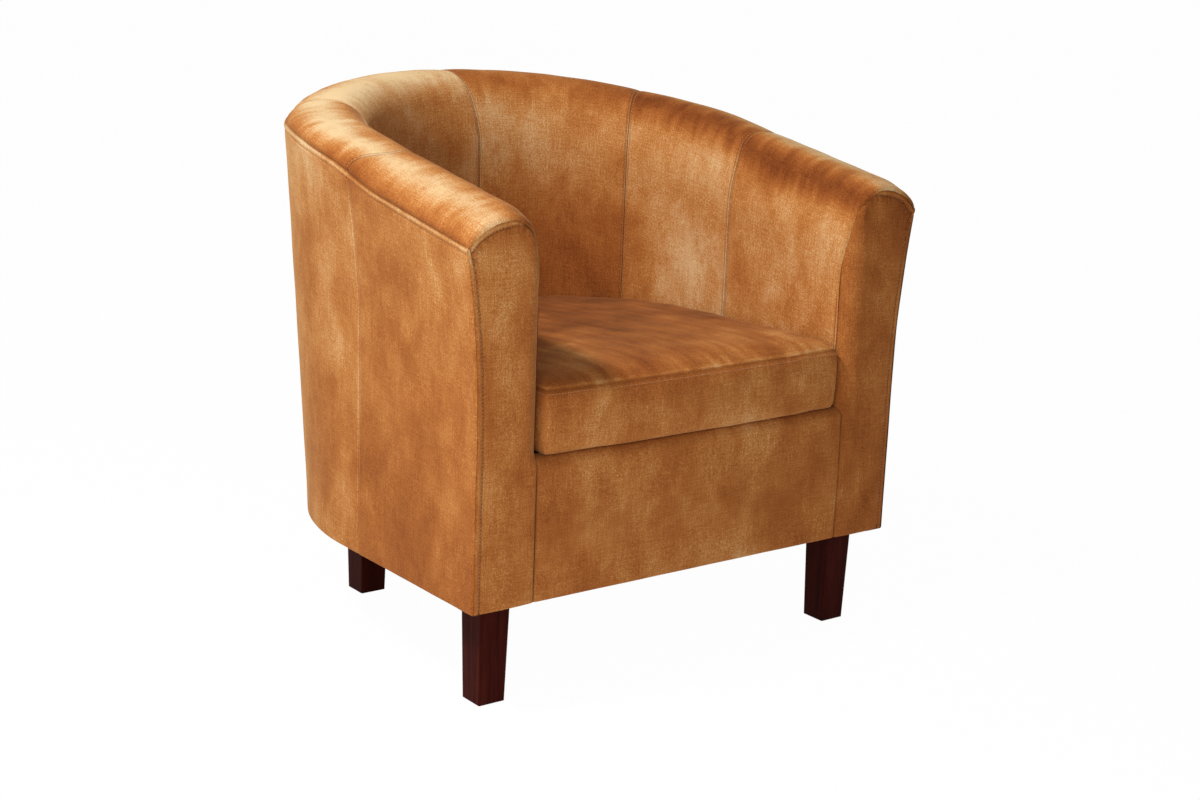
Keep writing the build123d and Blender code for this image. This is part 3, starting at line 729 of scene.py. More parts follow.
def wall_height(s):
    """Straight length of the outside cloth from the rim seam down to the hem."""
    _, y = plan(s, base_radius)
    return rim_seam_z + rim_lift(s) - (body_base + hem_round - climb(y))


def from_outside_seam(s):
    """Distance along the path to the upright seam between the back and an arm."""
    return np.abs(np.abs(s) - outside_seam)


def outside_surface(s, h):
    """A point of the outside cloth at a length h below the rim seam. Down to the hem it is the path and the
    side's radius with a small lift; past that it turns under at one level all round."""
    straight = wall_height(s)
    drop, way_in = hem(np.maximum(h - straight, 0))
    z = rim_seam_z + rim_lift(s) - np.minimum(h, straight)
    _, y = plan(s, base_radius)
    behind = np.where(np.abs(s) > quarter, y - front_y, 1.0)
    lift = stitched_edge(h) - valley(h, *outside_pull) - valley(from_outside_seam(s), *outside_root)
    lift += outside_wave * ripple(s, h, 140 * MM, seed=21)
    lift += outside_gather * fade(h, 26 * MM) * ripple(s, 0.4 * h, 14 * MM, seed=22)
    lift -= rounded(behind, side_round) + valley(behind - side_setback, *side_root)
    share, up = back_share(s), np.clip(1 - h / straight, 0, 1)
    flare = (1 - share) * (side_radius(np.minimum(z, rim_seam_z)) - base_radius)
    flare += share * ((side_tuck + rim_swell) * up - back_hollow * (1 - up))
    x, y = plan(s, base_radius + flare + lift - way_in)
    return np.stack([x, y, np.where(h > straight, body_base + hem_round - drop, z + climb(y))], axis=-1)


def outside_grid(start, end, step=5 * MM):
    """The grid of one outside panel between two places along the path: (s, h). Its rows are spaced as on a
    wall half a metre high, then go round the hem and in under the seat."""
    s = start + (end - start) * spaced(end - start, step)[None, :]
    straight = wall_height(s)
    falling = spaced(0.5, step)[:, None] * straight
    round_hem = np.linspace(0, hem_bend, 7)[1:, None] + straight
    under = hem_bend + np.linspace(0, hem_turn, 6)[1:, None] + straight
    h = np.concatenate([falling, round_hem, under])
    return np.broadcast_to(s, h.shape), h


print(f"outside cloth at the middle of the back: {wall_height(np.zeros(1))[0]:.3f} m down to the hem")

# %% [markdown]
# Each outside panel is laid on its own grid between two places along the path, with its own tone, and takes
# the place of the frame's cover.

# %% Outside panels
outside_front = front_run - side_setback
outside_panels = {"outside_arm_cover_left": (-outside_front, -outside_seam, 0.02),
                  "outside_back_cover": (-outside_seam, outside_seam, 0.11),
                  "outside_arm_cover_right": (outside_seam, outside_front, 0.02)}


for name, (start, end, nap) in outside_panels.items():
    s, h = outside_grid(start, end)
    seam = from_outside_seam(s)
    # Painted shade darkens the rim seam, the upright seams and the groove under the band's thread. A painted
    # highlight makes the folded band under the rim seam and a line beside each upright seam pale, and the
    # cloth is darker towards the bottom.
    crease = 0.7 * fade(h, 1.6 * MM) + 0.35 * fade(seam, 0.9 * MM) + 0.12 * bell(h - band_width, 1.2 * MM)
    painted_light = 0.20 * bell(h - 3.2 * MM, 1.5 * MM) - 0.12 * ease((h - 0.22) / 0.2)
    painted_light = painted_light + 0.12 * bell(seam - 1.8 * MM, 1.0 * MM)
    points = outside_surface(s, h)
    panel = lay_cloth("velvet_" + name.replace("_cover", ""), points, s, h, nap + painted_light,
                      np.clip(crease, 0, 0.8), flip=True)
    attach(panel, "tub")
    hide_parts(name)

# %% [markdown]
# Each arm ends in a facing: a padded panel in the outline of the wall, with its edge folded and topstitched
# into a band that follows the arch. The surface is made of lines that run from the outline to a spine down
# the middle of the panel, so a distance from the edge is simply a step along a line, and the band, its
# groove and the small pleats under the arch all follow the outline by themselves.

# %% Outline of a facing
spine_top = np.array([crest_radius, crest_z - outer_arc])
spine_foot = 0.5 * (base_radius + apron_edge)
foot_round, foot_setback = 2.5 * MM, 1.2 * MM
band_ends, band_tail = 66 * MM, 42 * MM
band_column = 6


def facing_outline():
    """The facing's outline from the outer foot over the arch to the inner foot, as columns: r, z, the way in
    at the hem, edge radius, setback of its seam, how much of the arch's puckering it has, and the width of
    its band. The band narrows to nothing at the inner shoulder, where the seam itself goes round the edge."""
    rise = np.linspace(body_base + hem_round, spine_top[1], 130)
    drop, way_in = hem(np.concatenate([hem_bend + np.linspace(hem_turn, 0, 6)[:-1],
                                       np.linspace(hem_bend, 0, 7)[:-1]]))
    low = np.concatenate([body_base + hem_round - drop, rise])
    tuck = np.concatenate([way_in, np.zeros(len(rise))])
    outer_z = np.concatenate([low, np.linspace(spine_top[1], rim_seam_z, 16)[1:]])
    over = np.linspace(0, float(cloth_down_to(spine_top[1])), 76)[1:-1]
    arch_r, arch_z, _, _ = roll_section(over)
    down = cloth_down_to(low)
    below = ease((deck_top + 10 * MM - low) / (22 * MM))
    inner_r = roll_section(np.minimum(down, roll_3))[0] + (apron_edge - inside_radius) * below
    inner_round = edge_round(down) * (1 - below) + foot_round * below
    inner_back = facing_setback(down) * (1 - below) + foot_setback * below
    outer, inner = np.ones(len(outer_z)), np.zeros(len(low))
    tuck_above = np.zeros(len(outer_z) - len(low) + len(over))
    columns = [(side_radius(outer_z), arch_r, inner_r[::-1]),
               (outer_z, arch_z, low[::-1]),
               (tuck, tuck_above, tuck[::-1]),
               (side_round * outer, edge_round(over), inner_round[::-1]),
               (side_setback * outer, facing_setback(over), inner_back[::-1]),
               (ease((outer_z - 0.52) / 0.05), 1 - ease((over - roll_2) / 0.05), inner),
               (band_width * outer, band_width * (1 - ease((over - band_ends) / band_tail)), inner)]
    return np.stack([np.concatenate(column) for column in columns], axis=-1)


print("facing outline:", len(facing_outline()), "points")

# %% [markdown]
# From the outline inward the first stretch is measured in millimetres, because the band and its pleats have
# real widths, and the rest is a share of the way to the spine, so that all lines meet there. The pleats are
# the same wave in the shape and in the painted shade, which keeps each dark line in its own fold.

# %% Arm facings
facing_plane = front_y + 2 * MM
edge_zone, spine_zone = 24 * MM, 36 * MM
edge_steps = np.array([0, 0.4, 0.9, 1.5, 2.3, 3.3, 4.5, 5.8, 7.0, 7.9, 8.5, 9.0, 9.5, 10.1, 11, 12.2, 14,
                       16.5, 20, 24]) * MM
facing_inset = np.concatenate([edge_steps, edge_zone + np.linspace(0, spine_zone, 10)[1:]])[None, :]
pleat_height, facing_swell, facing_wave = 1.7 * MM, 1.8 * MM, 0.5 * MM
facing_nap = -0.03


def pleats_at(along):
    """The pleats under the arch: uneven waves about 10 mm apart along the outline."""
    return ripple(along, 0 * along, 10 * MM, seed=31)


def facing_surface(outline, inset):
    """Points in from the outline: each outline point moves towards the spine by the inset, and back from the
    front by the rounded edge, the stitched band and the pleats that fade out past it."""
    r, z, tuck, radius, setback, pucker, band = (outline[:, i:i + 1] for i in range(7))
    start = rounded(setback, radius)
    spine_z = np.minimum(z, spine_top[1])
    spine_r = spine_foot + (spine_top[0] - spine_foot) * (spine_z - body_base) / (spine_top[1] - body_base)
    reach = np.hypot(spine_r - r, spine_z - z)
    near = np.minimum(inset, edge_zone)
    inward = start + near + (inset - near) / spine_zone * (reach - start - edge_zone)
    along = np.concatenate([[0], np.cumsum(np.hypot(np.diff(r[:, 0]), np.diff(z[:, 0])))])[:, None]
    pleat = -pleat_height * bell(near - band - 3 * MM, 6 * MM) * pleats_at(along)
    inward_r = r + (spine_r - r) * inward / reach
    lift = stitched_edge(near * np.ones_like(r), band, 1.8 * MM) + pleat * (0.12 + pucker)
    lift += facing_swell * np.sin(math.pi / 2 * np.clip((inward - start) / (reach - start), 0, 1))
    lift += facing_wave * ripple(inward_r, z, 70 * MM, seed=33) * ease(near / (20 * MM))
    y = facing_plane + rounded(inward, radius) - lift + tuck
    return inward_r, y, z + (spine_z - z) * inward / reach, along


outline = facing_outline()
band = outline[:, band_column:]
band_share, past_band = band / band_width, facing_inset - band
for side, sign in SIDES:
    r, y, z, along = facing_surface(outline, facing_inset)
    points = np.stack([sign * r, y, z], axis=-1)
    arch = ease((z[:, :1] - 0.54) / 0.04)
    # Painted shade darkens the seam at the edge, the groove under the band's thread and the folds of the
    # pleats under the arch. A painted highlight makes the band over the arch pale, painted shade darkens the
    # cloth just past it, and the right facing is darker than the left as painted shade from the lamp on the
    # left.
    crease = (0.65 - 0.3 * band_share) * fade(facing_inset, 0.9 * MM)
    crease = crease + 0.8 * np.sqrt(band_share) * bell(past_band, 1.1 * MM)
    pleats = np.maximum(pleats_at(along), 0) * bell(past_band - 4 * MM, 5 * MM)
    crease = crease + 1.1 * arch * np.sqrt(band_share) * pleats * (past_band > 0)
    band_highlight = 0.10 * arch * band_share * bell(facing_inset - 0.5 * band, 3 * MM)
    under_band_shade = 0.10 * arch * ease(past_band / MM) * ease((26 * MM - facing_inset) / (20 * MM))
    nap = band_highlight - under_band_shade - 0.05 * sign + facing_nap
    facing = lay_cloth("velvet_facing_" + side, points, r, z, nap, np.clip(crease, 0, 0.85), flip=sign > 0,
                       weld=0.02 * MM)
    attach(facing, "tub")
    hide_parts("arm_facing_" + side)
    print(facing.name, len(facing.data.polygons), "faces")

# %% [markdown]
# The apron is the strip under the cushion. It fills the space between the facings in the same plane, rolls
# over the front rail at the top and turns under at the bottom.

# %% Apron
apron_plane = front_y + 2.2 * MM
apron_round, apron_tail = 14 * MM, 12 * MM
apron_under = hem_turn + hem_bend
apron_rise = deck_top - apron_round - body_base - hem_round
apron_root, apron_swell, apron_wave = (2.2 * MM, 1.8 * MM), 1.2 * MM, 0.6 * MM


def apron_surface(x, g):
    """A point of the apron at a length g up the cloth from its turned edge: under the rail, round the hem,
    up the front and over the top by a quarter circle, with dips at both end seams."""
    drop, way_in = hem(np.maximum(apron_under - g, 0))
    up_front = np.clip(g - apron_under, 0, apron_rise)
    over = np.maximum(g - apron_under - apron_rise, 0)
    angle = np.clip(over / apron_round, 0, math.pi / 2)
    flat = np.maximum(over - apron_round * math.pi / 2, 0)
    y = apron_plane + way_in + apron_round * (1 - np.cos(angle)) + flat
    y = y + valley(apron_edge - np.abs(x), *apron_root)
    y = y - apron_swell * np.sin(math.pi * np.clip(up_front / apron_rise, 0, 1))
    y = y - apron_wave * ripple(x, g, 110 * MM, seed=41)
    z = body_base + hem_round - drop + up_front + apron_round * np.sin(angle)
    return np.stack(np.broadcast_arrays(x, y, z), axis=-1)


apron_x = apron_edge * (2 * spaced(2 * apron_edge, 5 * MM) - 1)[None, :]
apron_up = np.zeros(1)
for stretch, rows in ((hem_turn, 6), (hem_bend, 8), (apron_rise, 40),
                      (apron_round * math.pi / 2 + apron_tail, 14)):
    apron_up = np.concatenate([apron_up, apron_up[-1] + np.linspace(0, stretch, rows)[1:]])
apron_up = apron_up[:, None]
# The crease shade at both ends is painted shade in the end seams.
apron = lay_cloth("velvet_apron", apron_surface(apron_x, apron_up), apron_x, apron_up,
                  crease=0.5 * fade(apron_edge - np.abs(apron_x), 1.2 * MM))
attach(apron, "tub")
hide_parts("apron_cover", "apron_padding")
print(apron.name, len(apron.data.polygons), "faces")

# %% [markdown]
# Under the cushion lies the deck: black lining cloth over a felt pad, seen only when the cushion is lifted
# out. It is a D-shaped sheet, made by squeezing a square grid into the shape of the seat.

# %% Deck cloth
deck_front, deck_reach = front_y + 34 * MM, inside_radius - 1.5 * MM
deck_sag, deck_tuck, deck_wave = 1.2 * MM, (3 * MM, 9 * MM), 0.4 * MM


def lining_finish(name, colour, lift):
    """A thin bonded cloth: fine speckle and small pressed dots over a dark ground."""
    material, tree, shader = finish_named(name)
    place = in_object(tree)
    speckle = noise(tree, place, 900.0)
    dots = node(tree, "ShaderNodeTexVoronoi", Vector=place, Scale=420.0).outputs["Distance"]
    light = tuple(min(1.0, c * lift) for c in colour[:3]) + (1.0,)
    fill(tree, shader, Base_Color=ramp(tree, speckle, (0.3, colour), (0.75, light)),
         Normal=raised(tree, dots, 0.4, 0.2 * MM), Roughness=0.9, Specular_IOR_Level=0.1)
    return material


def deck_surface(u, v):
    """The deck: v runs from the front edge to the back, and u from -1 to 1 across the half width that the
    seat has there. It lies in slight waves and dips at the walls."""
    y = deck_front + v * (turn_y + deck_reach - deck_front)
    half = np.sqrt(np.maximum(deck_reach**2 - np.maximum(y - turn_y, 0)**2, (2 * MM)**2))
    x = u * half
    edge = np.maximum(np.minimum(half - np.abs(x), turn_y + deck_reach - y), 0)
    z = deck_top - deck_sag - valley(edge, *deck_tuck) + deck_wave * ripple(x, y, 60 * MM, seed=51)
    return np.stack([x, y * np.ones_like(x), z], axis=-1)


black_lining = lining_finish("black_lining", screen(30, 29, 30), lift=2.2)
deck_u = np.linspace(-1, 1, 81)[None, :]
deck_v = np.sin(np.linspace(0, math.pi / 2, 84))[:, None]
deck_points = deck_surface(deck_u, deck_v)
deck = lay_cloth("deck_lining", deck_points, deck_points[..., 0], deck_points[..., 1])
deck.data.materials[0] = black_lining
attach(deck, "tub")
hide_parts("deck_cloth", "deck_pad")

# %% [markdown]
# The seat cushion is a box cushion: a crowned top panel, an upright band all round and a flat base, filled
# with foam. It starts as the shape of its foam: an outline like a D, drawn in towards the middle above and
# below, with a crown on top, and lower towards the back, where it has been sat flat. That is a profile
# carried round an outline, and the next step fills it out.

# %% Cushion before filling
cushion_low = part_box("cushion_base_panel")[0][2]
cushion_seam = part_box("cushion_boxing")[1][2]
wall_limit = inside_radius - 2.2 * MM
cushion_half, cushion_front = wall_limit - 0.5 * MM, front_y + 4 * MM
cushion_corner, cushion_bow = 6 * MM, 7 * MM
cushion_middle = np.array([0, turn_y - 70 * MM])
base_inset, seam_inset, top_inset = 3 * MM, 1.5 * MM, 3.5 * MM
base_rise, seam_margin = 0.5 * MM, 1 * MM
band_bulge, edge_inset = 2.5 * MM, 1.5 * MM
edge_crown, middle_crown = 9.5 * MM, 6 * MM
sunk_share, sunk_from, sunk_run = 0.22, front_y + 0.05, 0.5


def cushion_outline(half, front, count):
    """A D in plan, evenly divided: half circle behind, straight sides, rounded front corners and a front
    that bows forward like a shallow arch."""
    turn = np.linspace(0, math.pi, 181)
    back = np.stack([half * np.cos(turn), turn_y + half * np.sin(turn)], axis=-1)
    bend = np.linspace(0, math.pi / 2, 20)
    left = np.stack([-half + cushion_corner * (1 - np.cos(bend)),
                     front + cushion_corner * (1 - np.sin(bend))], axis=-1)
    x = np.linspace(-half + cushion_corner, half - cushion_corner, 80)[1:-1]
    across = np.stack([x, front - cushion_bow * (1 - (x / (half - cushion_corner))**2)], axis=-1)
    loop = np.concatenate([back, left, across, left[::-1] * np.array([-1, 1]), back[:1]])
    length = np.concatenate([[0], np.cumsum(np.hypot(*np.diff(loop, axis=0).T))])
    even = np.linspace(0, length[-1], count + 1)
    return np.stack([np.interp(even, length, loop[:, 0]), np.interp(even, length, loop[:, 1])], axis=-1)


def cushion_sink(y):
    """The share of its height that the cushion has lost at a depth: none in front, about a fifth at the
    back, where people lean."""
    return sunk_share * np.clip((y - sunk_from) / sunk_run, 0, 1)**1.2


def seam_level(y):
    """Height of the cushion's top seam at a depth: the sewn height less the share that has sunk."""
    return cushion_low + (cushion_seam - cushion_low) * (1 - cushion_sink(y))


def cushion_form(outline, profile):
    """The cushion: each outline point moves towards the middle by a profile's inset, then by a share of the
    way to the middle, at the profile's height less what has sunk."""
    away = outline - cushion_middle
    reach = np.hypot(away[:, 0], away[:, 1])[None, :]
    inset, share, z = (profile[:, i:i + 1] for i in range(3))
    scale = (reach - inset) / reach * (1 - share)
    x, y = (cushion_middle[i] + away[None, :, i] * scale for i in range(2))
    return np.stack([x, y, z - (z - cushion_low) * cushion_sink(y)], axis=-1)


def cushion_profile():
    """Rows of (inset, share of the way in, height) from the middle of the base up the band to the top's
    middle. The band bulges by half a sine and draws in sharply at both seams. The crown rises fast behind
    the seam, by 1 - e to the minus (share over 0.04), and then slowly by a cubic."""
    ways = np.linspace(1, 0, 24)
    base = np.stack([0 * ways + base_inset, ways, 0 * ways + cushion_low + base_rise], axis=-1)
    up_band = np.linspace(0, 1, 18)
    bulge = band_bulge * np.sin(math.pi * up_band)
    edge = edge_inset * (2 * np.abs(up_band - 0.5))**8
    band_z = cushion_low + seam_margin + (cushion_seam - cushion_low - 2 * seam_margin) * up_band
    boxing = np.stack([edge - bulge + seam_inset, 0 * up_band, band_z], axis=-1)
    back_in = ways[::-1]**2
    crown = edge_crown * (1 - fade(back_in, 0.04)) + middle_crown * (1 - (1 - back_in)**3)
    top = np.stack([0 * ways + top_inset, back_in, cushion_seam + crown], axis=-1)
    return np.concatenate([base, boxing, top])


cushion_ring = cushion_outline(cushion_half, cushion_front, 360)
cushion_points = cushion_form(cushion_ring, cushion_profile())
cushion = lay_cloth("velvet_cushion", cushion_points, 0.0, 0.0, flip=True, weld=0.05 * MM)
print("cushion before filling:", len(cushion.data.polygons), "faces")

# %% [markdown]
# Filling makes a cover swell unevenly and rounds its edges, which no formula does as well as a cloth
# simulation. Voxel remesh first turns the form into even small squares, which is what the simulation wants.
# It runs for twenty frames with a gentle pressure and no gravity. Afterwards its result is read back and
# each point's way is cut to the most that the foam allows. The seam and the creases come later, because the
# remesh would have smoothed them away.

# %% Filling the cushion
fill_limit, fill_pressure = 6 * MM, 0.4
stretch_stiffness, bend_stiffness = 25.0, 2.0
fill_frames = 20
remesh = cushion.modifiers.new("even_squares", "REMESH")
remesh.mode, remesh.voxel_size, remesh.use_smooth_shade = "VOXEL", 5 * MM, True


def read_mesh(made):
    """The object's mesh with its modifiers worked out, as a new mesh."""
    return bpy.data.meshes.new_from_object(made.evaluated_get(bpy.context.evaluated_depsgraph_get()))


def vertex_array(mesh, label="co"):
    """All points of a mesh, or their outward directions, as rows of x, y, z."""
    flat = np.empty(len(mesh.vertices) * 3, dtype=np.float32)
    mesh.vertices.foreach_get(label, flat)
    return flat.reshape(-1, 3)


even = read_mesh(cushion)
cushion.modifiers.clear()
cushion.data = even
slack = vertex_array(even).astype(float)
full = slack.copy()
if fill_frames:
    cloth = cushion.modifiers.new("filling", "CLOTH")
    cloth.settings.use_pressure = True
    cloth.settings.uniform_pressure_force = fill_pressure
    cloth.settings.effector_weights.gravity = 0.0
    cloth.settings.tension_stiffness = cloth.settings.compression_stiffness = stretch_stiffness
    cloth.settings.bending_stiffness = bend_stiffness
    cloth.point_cache.frame_start, cloth.point_cache.frame_end = 1, fill_frames
    for step in range(1, fill_frames + 1):
        bpy.context.scene.frame_set(step)
    full = vertex_array(read_mesh(cushion)).astype(float)
    cushion.modifiers.clear()
    bpy.context.scene.frame_set(1)
way = full - slack
far = np.linalg.norm(way, axis=1, keepdims=True)
filled = slack + way * np.minimum(1, fill_limit / np.maximum(far, 1e-9))
print(f"filling moved points by up to {far.max() / MM:.1f} mm, kept to {fill_limit / MM:.0f} mm")

# %% [markdown]
# The filled cushion is pressed against its neighbours, so points past the tub's inside faces or below the
# deck are brought back to them. Then one subdivision smooths the squares, and the seams round the top and
# bottom edges are drawn in.

# %% Cushion seams
front_bulge = 6 * MM
seam_below, low_seam_above = 1.5 * MM, 5 * MM
top_dip, low_dip, dip_width, cushion_wave = 1.1 * MM, 1.0 * MM, 2.0 * MM, 0.9 * MM
flat_limit, far_away = 0.93, 1.0


def keep_in_tub(points):
    """Points brought back inside the seat: across by the half width, behind by the half circle, down by the
    deck."""
    x, y, z = points.T
    x = np.clip(x, -wall_limit, wall_limit)
    back = np.maximum(y - turn_y, 0)
    over = np.maximum(np.hypot(x, back) / wall_limit, 1)
    x, y = np.where(back > 0, x / over, x), np.where(back > 0, turn_y + back / over, y)
    return np.stack([x, np.maximum(y, front_y - front_bulge), np.maximum(z, cushion_low)], axis=-1)


even.vertices.foreach_set("co", keep_in_tub(filled).astype(np.float32).ravel())
even.update()
smoother = cushion.modifiers.new("smooth", "SUBSURF")
smoother.levels = smoother.render_levels = 1
fine = read_mesh(cushion)
cushion.modifiers.clear()
cushion.data = fine
cushion.name = "velvet_cushion"
fine.materials.clear()
fine.materials.append(golden_velvet)

points = vertex_array(fine).astype(float)
normals = vertex_array(fine, "normal")
sloping = np.abs(normals[:, 2]) < flat_limit
below_seam = seam_level(points[:, 1]) - seam_below - points[:, 2]
from_seam = np.where(sloping, np.abs(below_seam), far_away)
from_low_seam = np.where(sloping, np.abs(points[:, 2] - cushion_low - low_seam_above), far_away)
dip = top_dip * bell(from_seam, dip_width) + low_dip * bell(from_low_seam, dip_width)
wave = cushion_wave * ripple(points[:, 0], points[:, 1] + points[:, 2], 75 * MM, seed=61)
points = keep_in_tub(points + normals * (wave - dip)[:, None])
fine.vertices.foreach_set("co", points.astype(np.float32).ravel())
print("cushion:", len(fine.polygons), "faces, box", np.round(points.min(0), 4), np.round(points.max(0), 4))

# %% [markdown]
# The cushion's velvet is cut in three pieces, so its cloth coordinates lie flat on the top and upright on the
# band. Its top is darker towards the back, partly because the pile is brushed that way and partly as painted
# shade from the back and arms, and the pile lies in broad streaks. The band has painted shade just under the
# top seam, and the folded edge along the seam has a painted highlight.

# %% Cushion nap, painted light and cloth directions
# The top darkens towards the back partly as painted shade; the band's shade is painted shade just under the
# top seam, and the seam's value is a painted highlight on the folded edge.
front_nap, back_nap_and_shade, back_nap_run = -0.05, 0.29, 0.32
broad_streak, fine_streak = 0.16, 0.14
band_nap, band_shade, seam_highlight = 0.08, 0.16, 0.14
level_limit, band_limit, band_apart = 0.62, 0.6, 0.9

# Painted shade along the top seam, a top darker towards the back partly as painted shade, painted shade on
# the band under the seam and a painted highlight on the folded edge.
write_attribute(fine, "crease", 0.35 * bell(from_seam, 1.5 * MM))
top_nap_and_shade = front_nap - back_nap_and_shade * ease((points[:, 1] - front_y) / back_nap_run)
top_nap_and_shade = top_nap_and_shade + broad_streak * ripple(points[:, 0], 0.4 * points[:, 1], 70 * MM, seed=62)
top_nap_and_shade = top_nap_and_shade + fine_streak * ripple(points[:, 0], 0.3 * points[:, 1], 24 * MM, seed=63)
boxing_nap_and_shade = (band_nap - band_shade * fade(np.maximum(below_seam, 0), 14 * MM)) * (normals[:, 2] < band_limit)
painted_light = seam_highlight * bell(below_seam + 3 * MM, 1.5 * MM) * sloping
write_attribute(fine, "nap", top_nap_and_shade * ease((normals[:, 2] - 0.3) / 0.5) + boxing_nap_and_shade + painted_light)

level = np.abs(normals[:, 2:3]) > level_limit
sideways = np.abs(normals[:, 0:1]) > np.abs(normals[:, 1:2])
upright = np.where(sideways, points[:, [1, 2]], points[:, [0, 2]])
write_cloth_map(fine, np.where(level, points[:, [0, 1]], upright + np.array([0.0, band_apart])))
smooth_faces(fine)
fine.update()
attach(cushion, "cushion")
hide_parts("cushion_base_panel", "cushion_boxing", "cushion_core", "cushion_top_panel")
print("cushion nap from", round(float(top_nap_and_shade.min()), 2), "to", round(float(top_nap_and_shade.max()), 2))

# %% [markdown]
# Thread shows as rows of short raised stitches beside each seam. One stitch is a small bead, thick in the
# middle, and a row is hundreds of copies of it, each turned along its seam. All copies are worked out
# together: the bead's shape times the three directions at each place.

# %% A row of stitches
stitch_length, stitch_gap, stitch_thick = 3.4 * MM, 1.1 * MM, 0.42 * MM
bead_steps = np.array([-0.5, -0.36, 0.0, 0.36, 0.5]) * stitch_length
bead_thick = np.array([0.3, 0.8, 1.0, 0.8, 0.3]) * stitch_thick
bead_sides = 6

thread_material, tree, shader = finish_named("gold_thread")
twist = noise(tree, in_object(tree), 1500.0)
fill(tree, shader, Base_Color=ramp(tree, twist, (0.3, screen(158, 96, 46)), (0.7, screen(192, 130, 72))),
     Roughness=0.55, Sheen_Weight=0.3)


def read_along(values, places, source):
    """Rows of x, y, z read at new places between the places that they have."""
    return np.stack([np.interp(places, source, values[:, i]) for i in range(3)], axis=-1)


def unit(rows):
    """Each row divided by its length."""
    return rows / np.linalg.norm(rows, axis=1, keepdims=True)


def stitches_along(line, out):
    """Places, ways along and ways out of the stitches on one line, which is divided into equal steps."""
    length = np.concatenate([[0], np.cumsum(np.linalg.norm(np.diff(line, axis=0), axis=1))])
    count = max(int(length[-1] / (stitch_length + stitch_gap)), 2)
    even_line = read_along(line, np.linspace(0, length[-1], count), length)
    ways_out = read_along(out, np.linspace(0, 1, count - 1), np.linspace(0, 1, len(out)))
    return 0.5 * (even_line[1:] + even_line[:-1]), np.diff(even_line, axis=0), ways_out


def stitch_row(name, lines, body):
    """A row of beads along lines of (points, outward directions): each bead is five rings of six points, and
    a ring point is the place plus its step along the seam plus its radius times a turn of the other two
    directions."""
    place, way, out = (np.concatenate(group) for group in zip(*(stitches_along(*line) for line in lines)))
    way = unit(way)
    out = unit(out - way * (out * way).sum(axis=1, keepdims=True))
    side = np.cross(way, out)
    turn = (np.arange(bead_sides) / bead_sides * 2 * math.pi)[None, :, None]
    ring = bead_thick[:, None, None] * (np.cos(turn) * out[:, None, None, :]
                                        + np.sin(turn) * side[:, None, None, :])
    beads = place[:, None, None, :] + bead_steps[None, :, None, None] * way[:, None, None, :] + ring
    index = np.arange(beads[..., 0].size).reshape(beads.shape[:3])
    beside = np.roll(index, -1, axis=2)
    quads = np.stack([index[:, :-1], beside[:, :-1], beside[:, 1:], index[:, 1:]], axis=-1).reshape(-1, 4)
    caps = np.concatenate([index[:, 0, ::-1], index[:, -1]]).reshape(-1, bead_sides)
    mesh = bpy.data.meshes.new(name)
    mesh.from_pydata(beads.reshape(-1, 3).tolist(), [], quads.tolist() + caps.tolist())
    smooth_faces(mesh)
    mesh.materials.append(thread_material)
    made = bpy.data.objects.new(name, mesh)
    bpy.context.collection.objects.link(made)
    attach(made, body)
    print(name, len(place), "stitches")


print("a bead has", len(bead_steps) * bead_sides, "points")

# %% [markdown]
# The tub's thread lies on surfaces that are formulas, so a row is the same formula asked along a line: both
# sides of every inside seam, below the rim and beside the upright seams outside, and round the arch of each
# facing at the width of its band.

# %% Stitches of the tub
tiny = 0.4 * MM
rim_gap, inside_reach = 4 * MM, roll_3 + 180 * MM
upright_top, upright_end, upright_apart = 14 * MM, 0.40, 3 * MM
hem_points, least_band = 12, 3 * MM


def on_surface(surface, a, b):
    """A line on a surface of two lengths, with the way out at each point: the cross product of its two
    tangents."""
    along_a = surface(a + tiny, b) - surface(a - tiny, b)
    along_b = surface(a, b + tiny) - surface(a, b - tiny)
    return surface(a, b), unit(np.cross(along_a, along_b))


t = np.linspace(rim_gap, inside_reach, 200)
stitch_row("inside_seam_stitches", [on_surface(inside_surface, seams_at(t)[:, seam] + sign * seam_stitch, t)
                                    for seam in range(len(seam_rest)) for sign in (-1, 1)], "tub")

rim_s = np.linspace(-outside_front + 3 * MM, outside_front - 3 * MM, 900)
outside_rows = [on_surface(outside_surface, rim_s, np.full_like(rim_s, band_width))]
h = np.linspace(upright_top, upright_end, 120)
for _, sign in SIDES:
    beside_seam = np.full_like(h, sign * (outside_seam + upright_apart))
    outside_rows.append(on_surface(outside_surface, beside_seam, h))
stitch_row("outside_seam_stitches", [(line, -out) for line, out in outside_rows], "tub")

facing_rows = []
stitched = outline[hem_points:]
stitched = stitched[stitched[:, band_column] > least_band]
for _, sign in SIDES:
    r, y, z, _ = facing_surface(stitched, stitched[:, band_column:])
    line = np.concatenate([sign * r, y, z], axis=1)
    facing_rows.append((line, np.tile([0.0, -1.0, 0.0], (len(line), 1))))
stitch_row("facing_stitches", facing_rows, "tub")

# %% [markdown]
# The cushion's thread lies on a surface that came out of a simulation, so there is no formula to ask. A
# search tree of its faces answers instead: from an outline a little outside the band, the nearest point of
# the cushion is where a stitch lies, and the face there says which way is out.

# %% Cushion stitches
search_gap, row_below = 8 * MM, 2.5 * MM
cushion_tree = BVHTree.FromPolygons(points.tolist(), [tuple(face.vertices) for face in fine.polygons])
row_ring = cushion_outline(cushion_half + search_gap, cushion_front - search_gap, 420)
row_z = seam_level(row_ring[:, 1]) - row_below
hits = [cushion_tree.find_nearest(Vector((x, y, z))) for (x, y), z in zip(row_ring, row_z)]
row, row_out = (np.array([hit[i] for hit in hits]) for i in range(2))
stitch_row("cushion_stitches", [(row, row_out)], "cushion")

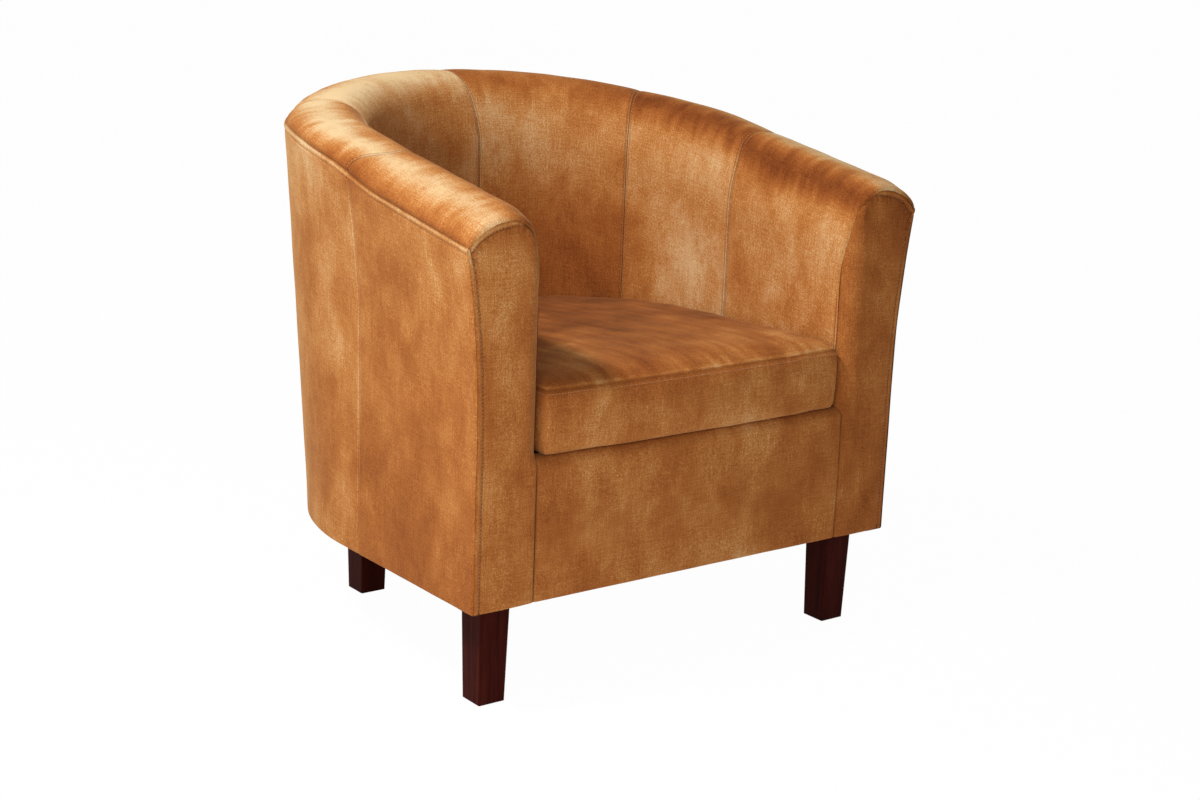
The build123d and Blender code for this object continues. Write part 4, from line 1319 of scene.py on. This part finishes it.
# %% [markdown]
# The legs are square, tapered and stained almost black over a red-brown wood. The grain runs down the leg,
# so the noise is stretched along Z. The stain is dull, with hardly any shine, so the dark colour holds from
# every side. The frame inside is plain softwood with the same grain, and the board, foam, felt, webbing and
# metal are each a fine speckle between two colours, which is enough for parts that are seldom seen.

# %% Wood, board and the hidden parts
def wood_finish(name, dark, light, rough):
    """Straight-grained wood: long streaks and fine pores, both stretched along the height."""
    material, tree, shader = finish_named(name)
    place, long_grain = in_object(tree), (1, 1, 0.06)
    streak = noise(tree, place, 130.0, detail=4.0, bend=0.6, stretch=long_grain)
    pores = noise(tree, place, 900.0, detail=1.0, stretch=long_grain)
    tone = maths(tree, "ADD", maths(tree, "MULTIPLY", streak, 0.75), maths(tree, "MULTIPLY", pores, 0.25))
    fill(tree, shader, Base_Color=ramp(tree, tone, (0.32, dark), (0.68, light)),
         Normal=raised(tree, pores, 0.15, 0.2 * MM), Roughness=rough, Specular_IOR_Level=0.02)
    return material


def speckled_finish(name, dark, light, scale, rough, metal=0.0):
    """A plain stuff with a fine uneven speckle in its colour and surface."""
    material, tree, shader = finish_named(name)
    speckle = noise(tree, in_object(tree), scale, detail=3.0)
    fill(tree, shader, Base_Color=ramp(tree, speckle, (0.3, dark), (0.7, light)),
         Normal=raised(tree, speckle, 0.25, 0.3 * MM), Roughness=rough, Metallic=metal)
    return material


finishes = {
    "leg_wood": wood_finish("dark_stained_wood", screen(40, 9, 6), screen(68, 22, 14), rough=0.45),
    "frame_wood": wood_finish("planed_softwood", screen(188, 150, 100), screen(222, 190, 140), rough=0.65),
    "board": speckled_finish("hardboard", screen(112, 76, 46), screen(150, 108, 70), 260.0, 0.7),
    "foam": speckled_finish("cut_foam", screen(214, 202, 168), screen(236, 226, 196), 420.0, 0.95),
    "felt": speckled_finish("grey_felt", screen(120, 116, 110), screen(178, 172, 164), 300.0, 0.95),
    "lining": black_lining,
    "webbing": speckled_finish("elastic_webbing", screen(62, 56, 50), screen(104, 96, 86), 500.0, 0.85),
    "spring_steel": speckled_finish("oiled_wire", screen(96, 96, 98), screen(140, 140, 144), 200.0, 0.4,
                                    metal=1.0),
    "zinc_steel": speckled_finish("zinc_plate", screen(176, 178, 182), screen(212, 214, 218), 160.0, 0.35,
                                  metal=1.0),
    "glide_plastic": speckled_finish("black_plastic", screen(24, 24, 25), screen(42, 42, 44), 700.0, 0.5),
    "velvet": golden_velvet,
}
slot_of = {part["node"]: part["material_slot"] for part in frame["record"]["subparts"]}
for name, part in frame["nodes"].items():
    part.data.materials.clear()
    part.data.materials.append(finishes[slot_of[name]])
print("finishes on", len(slot_of), "frame parts")
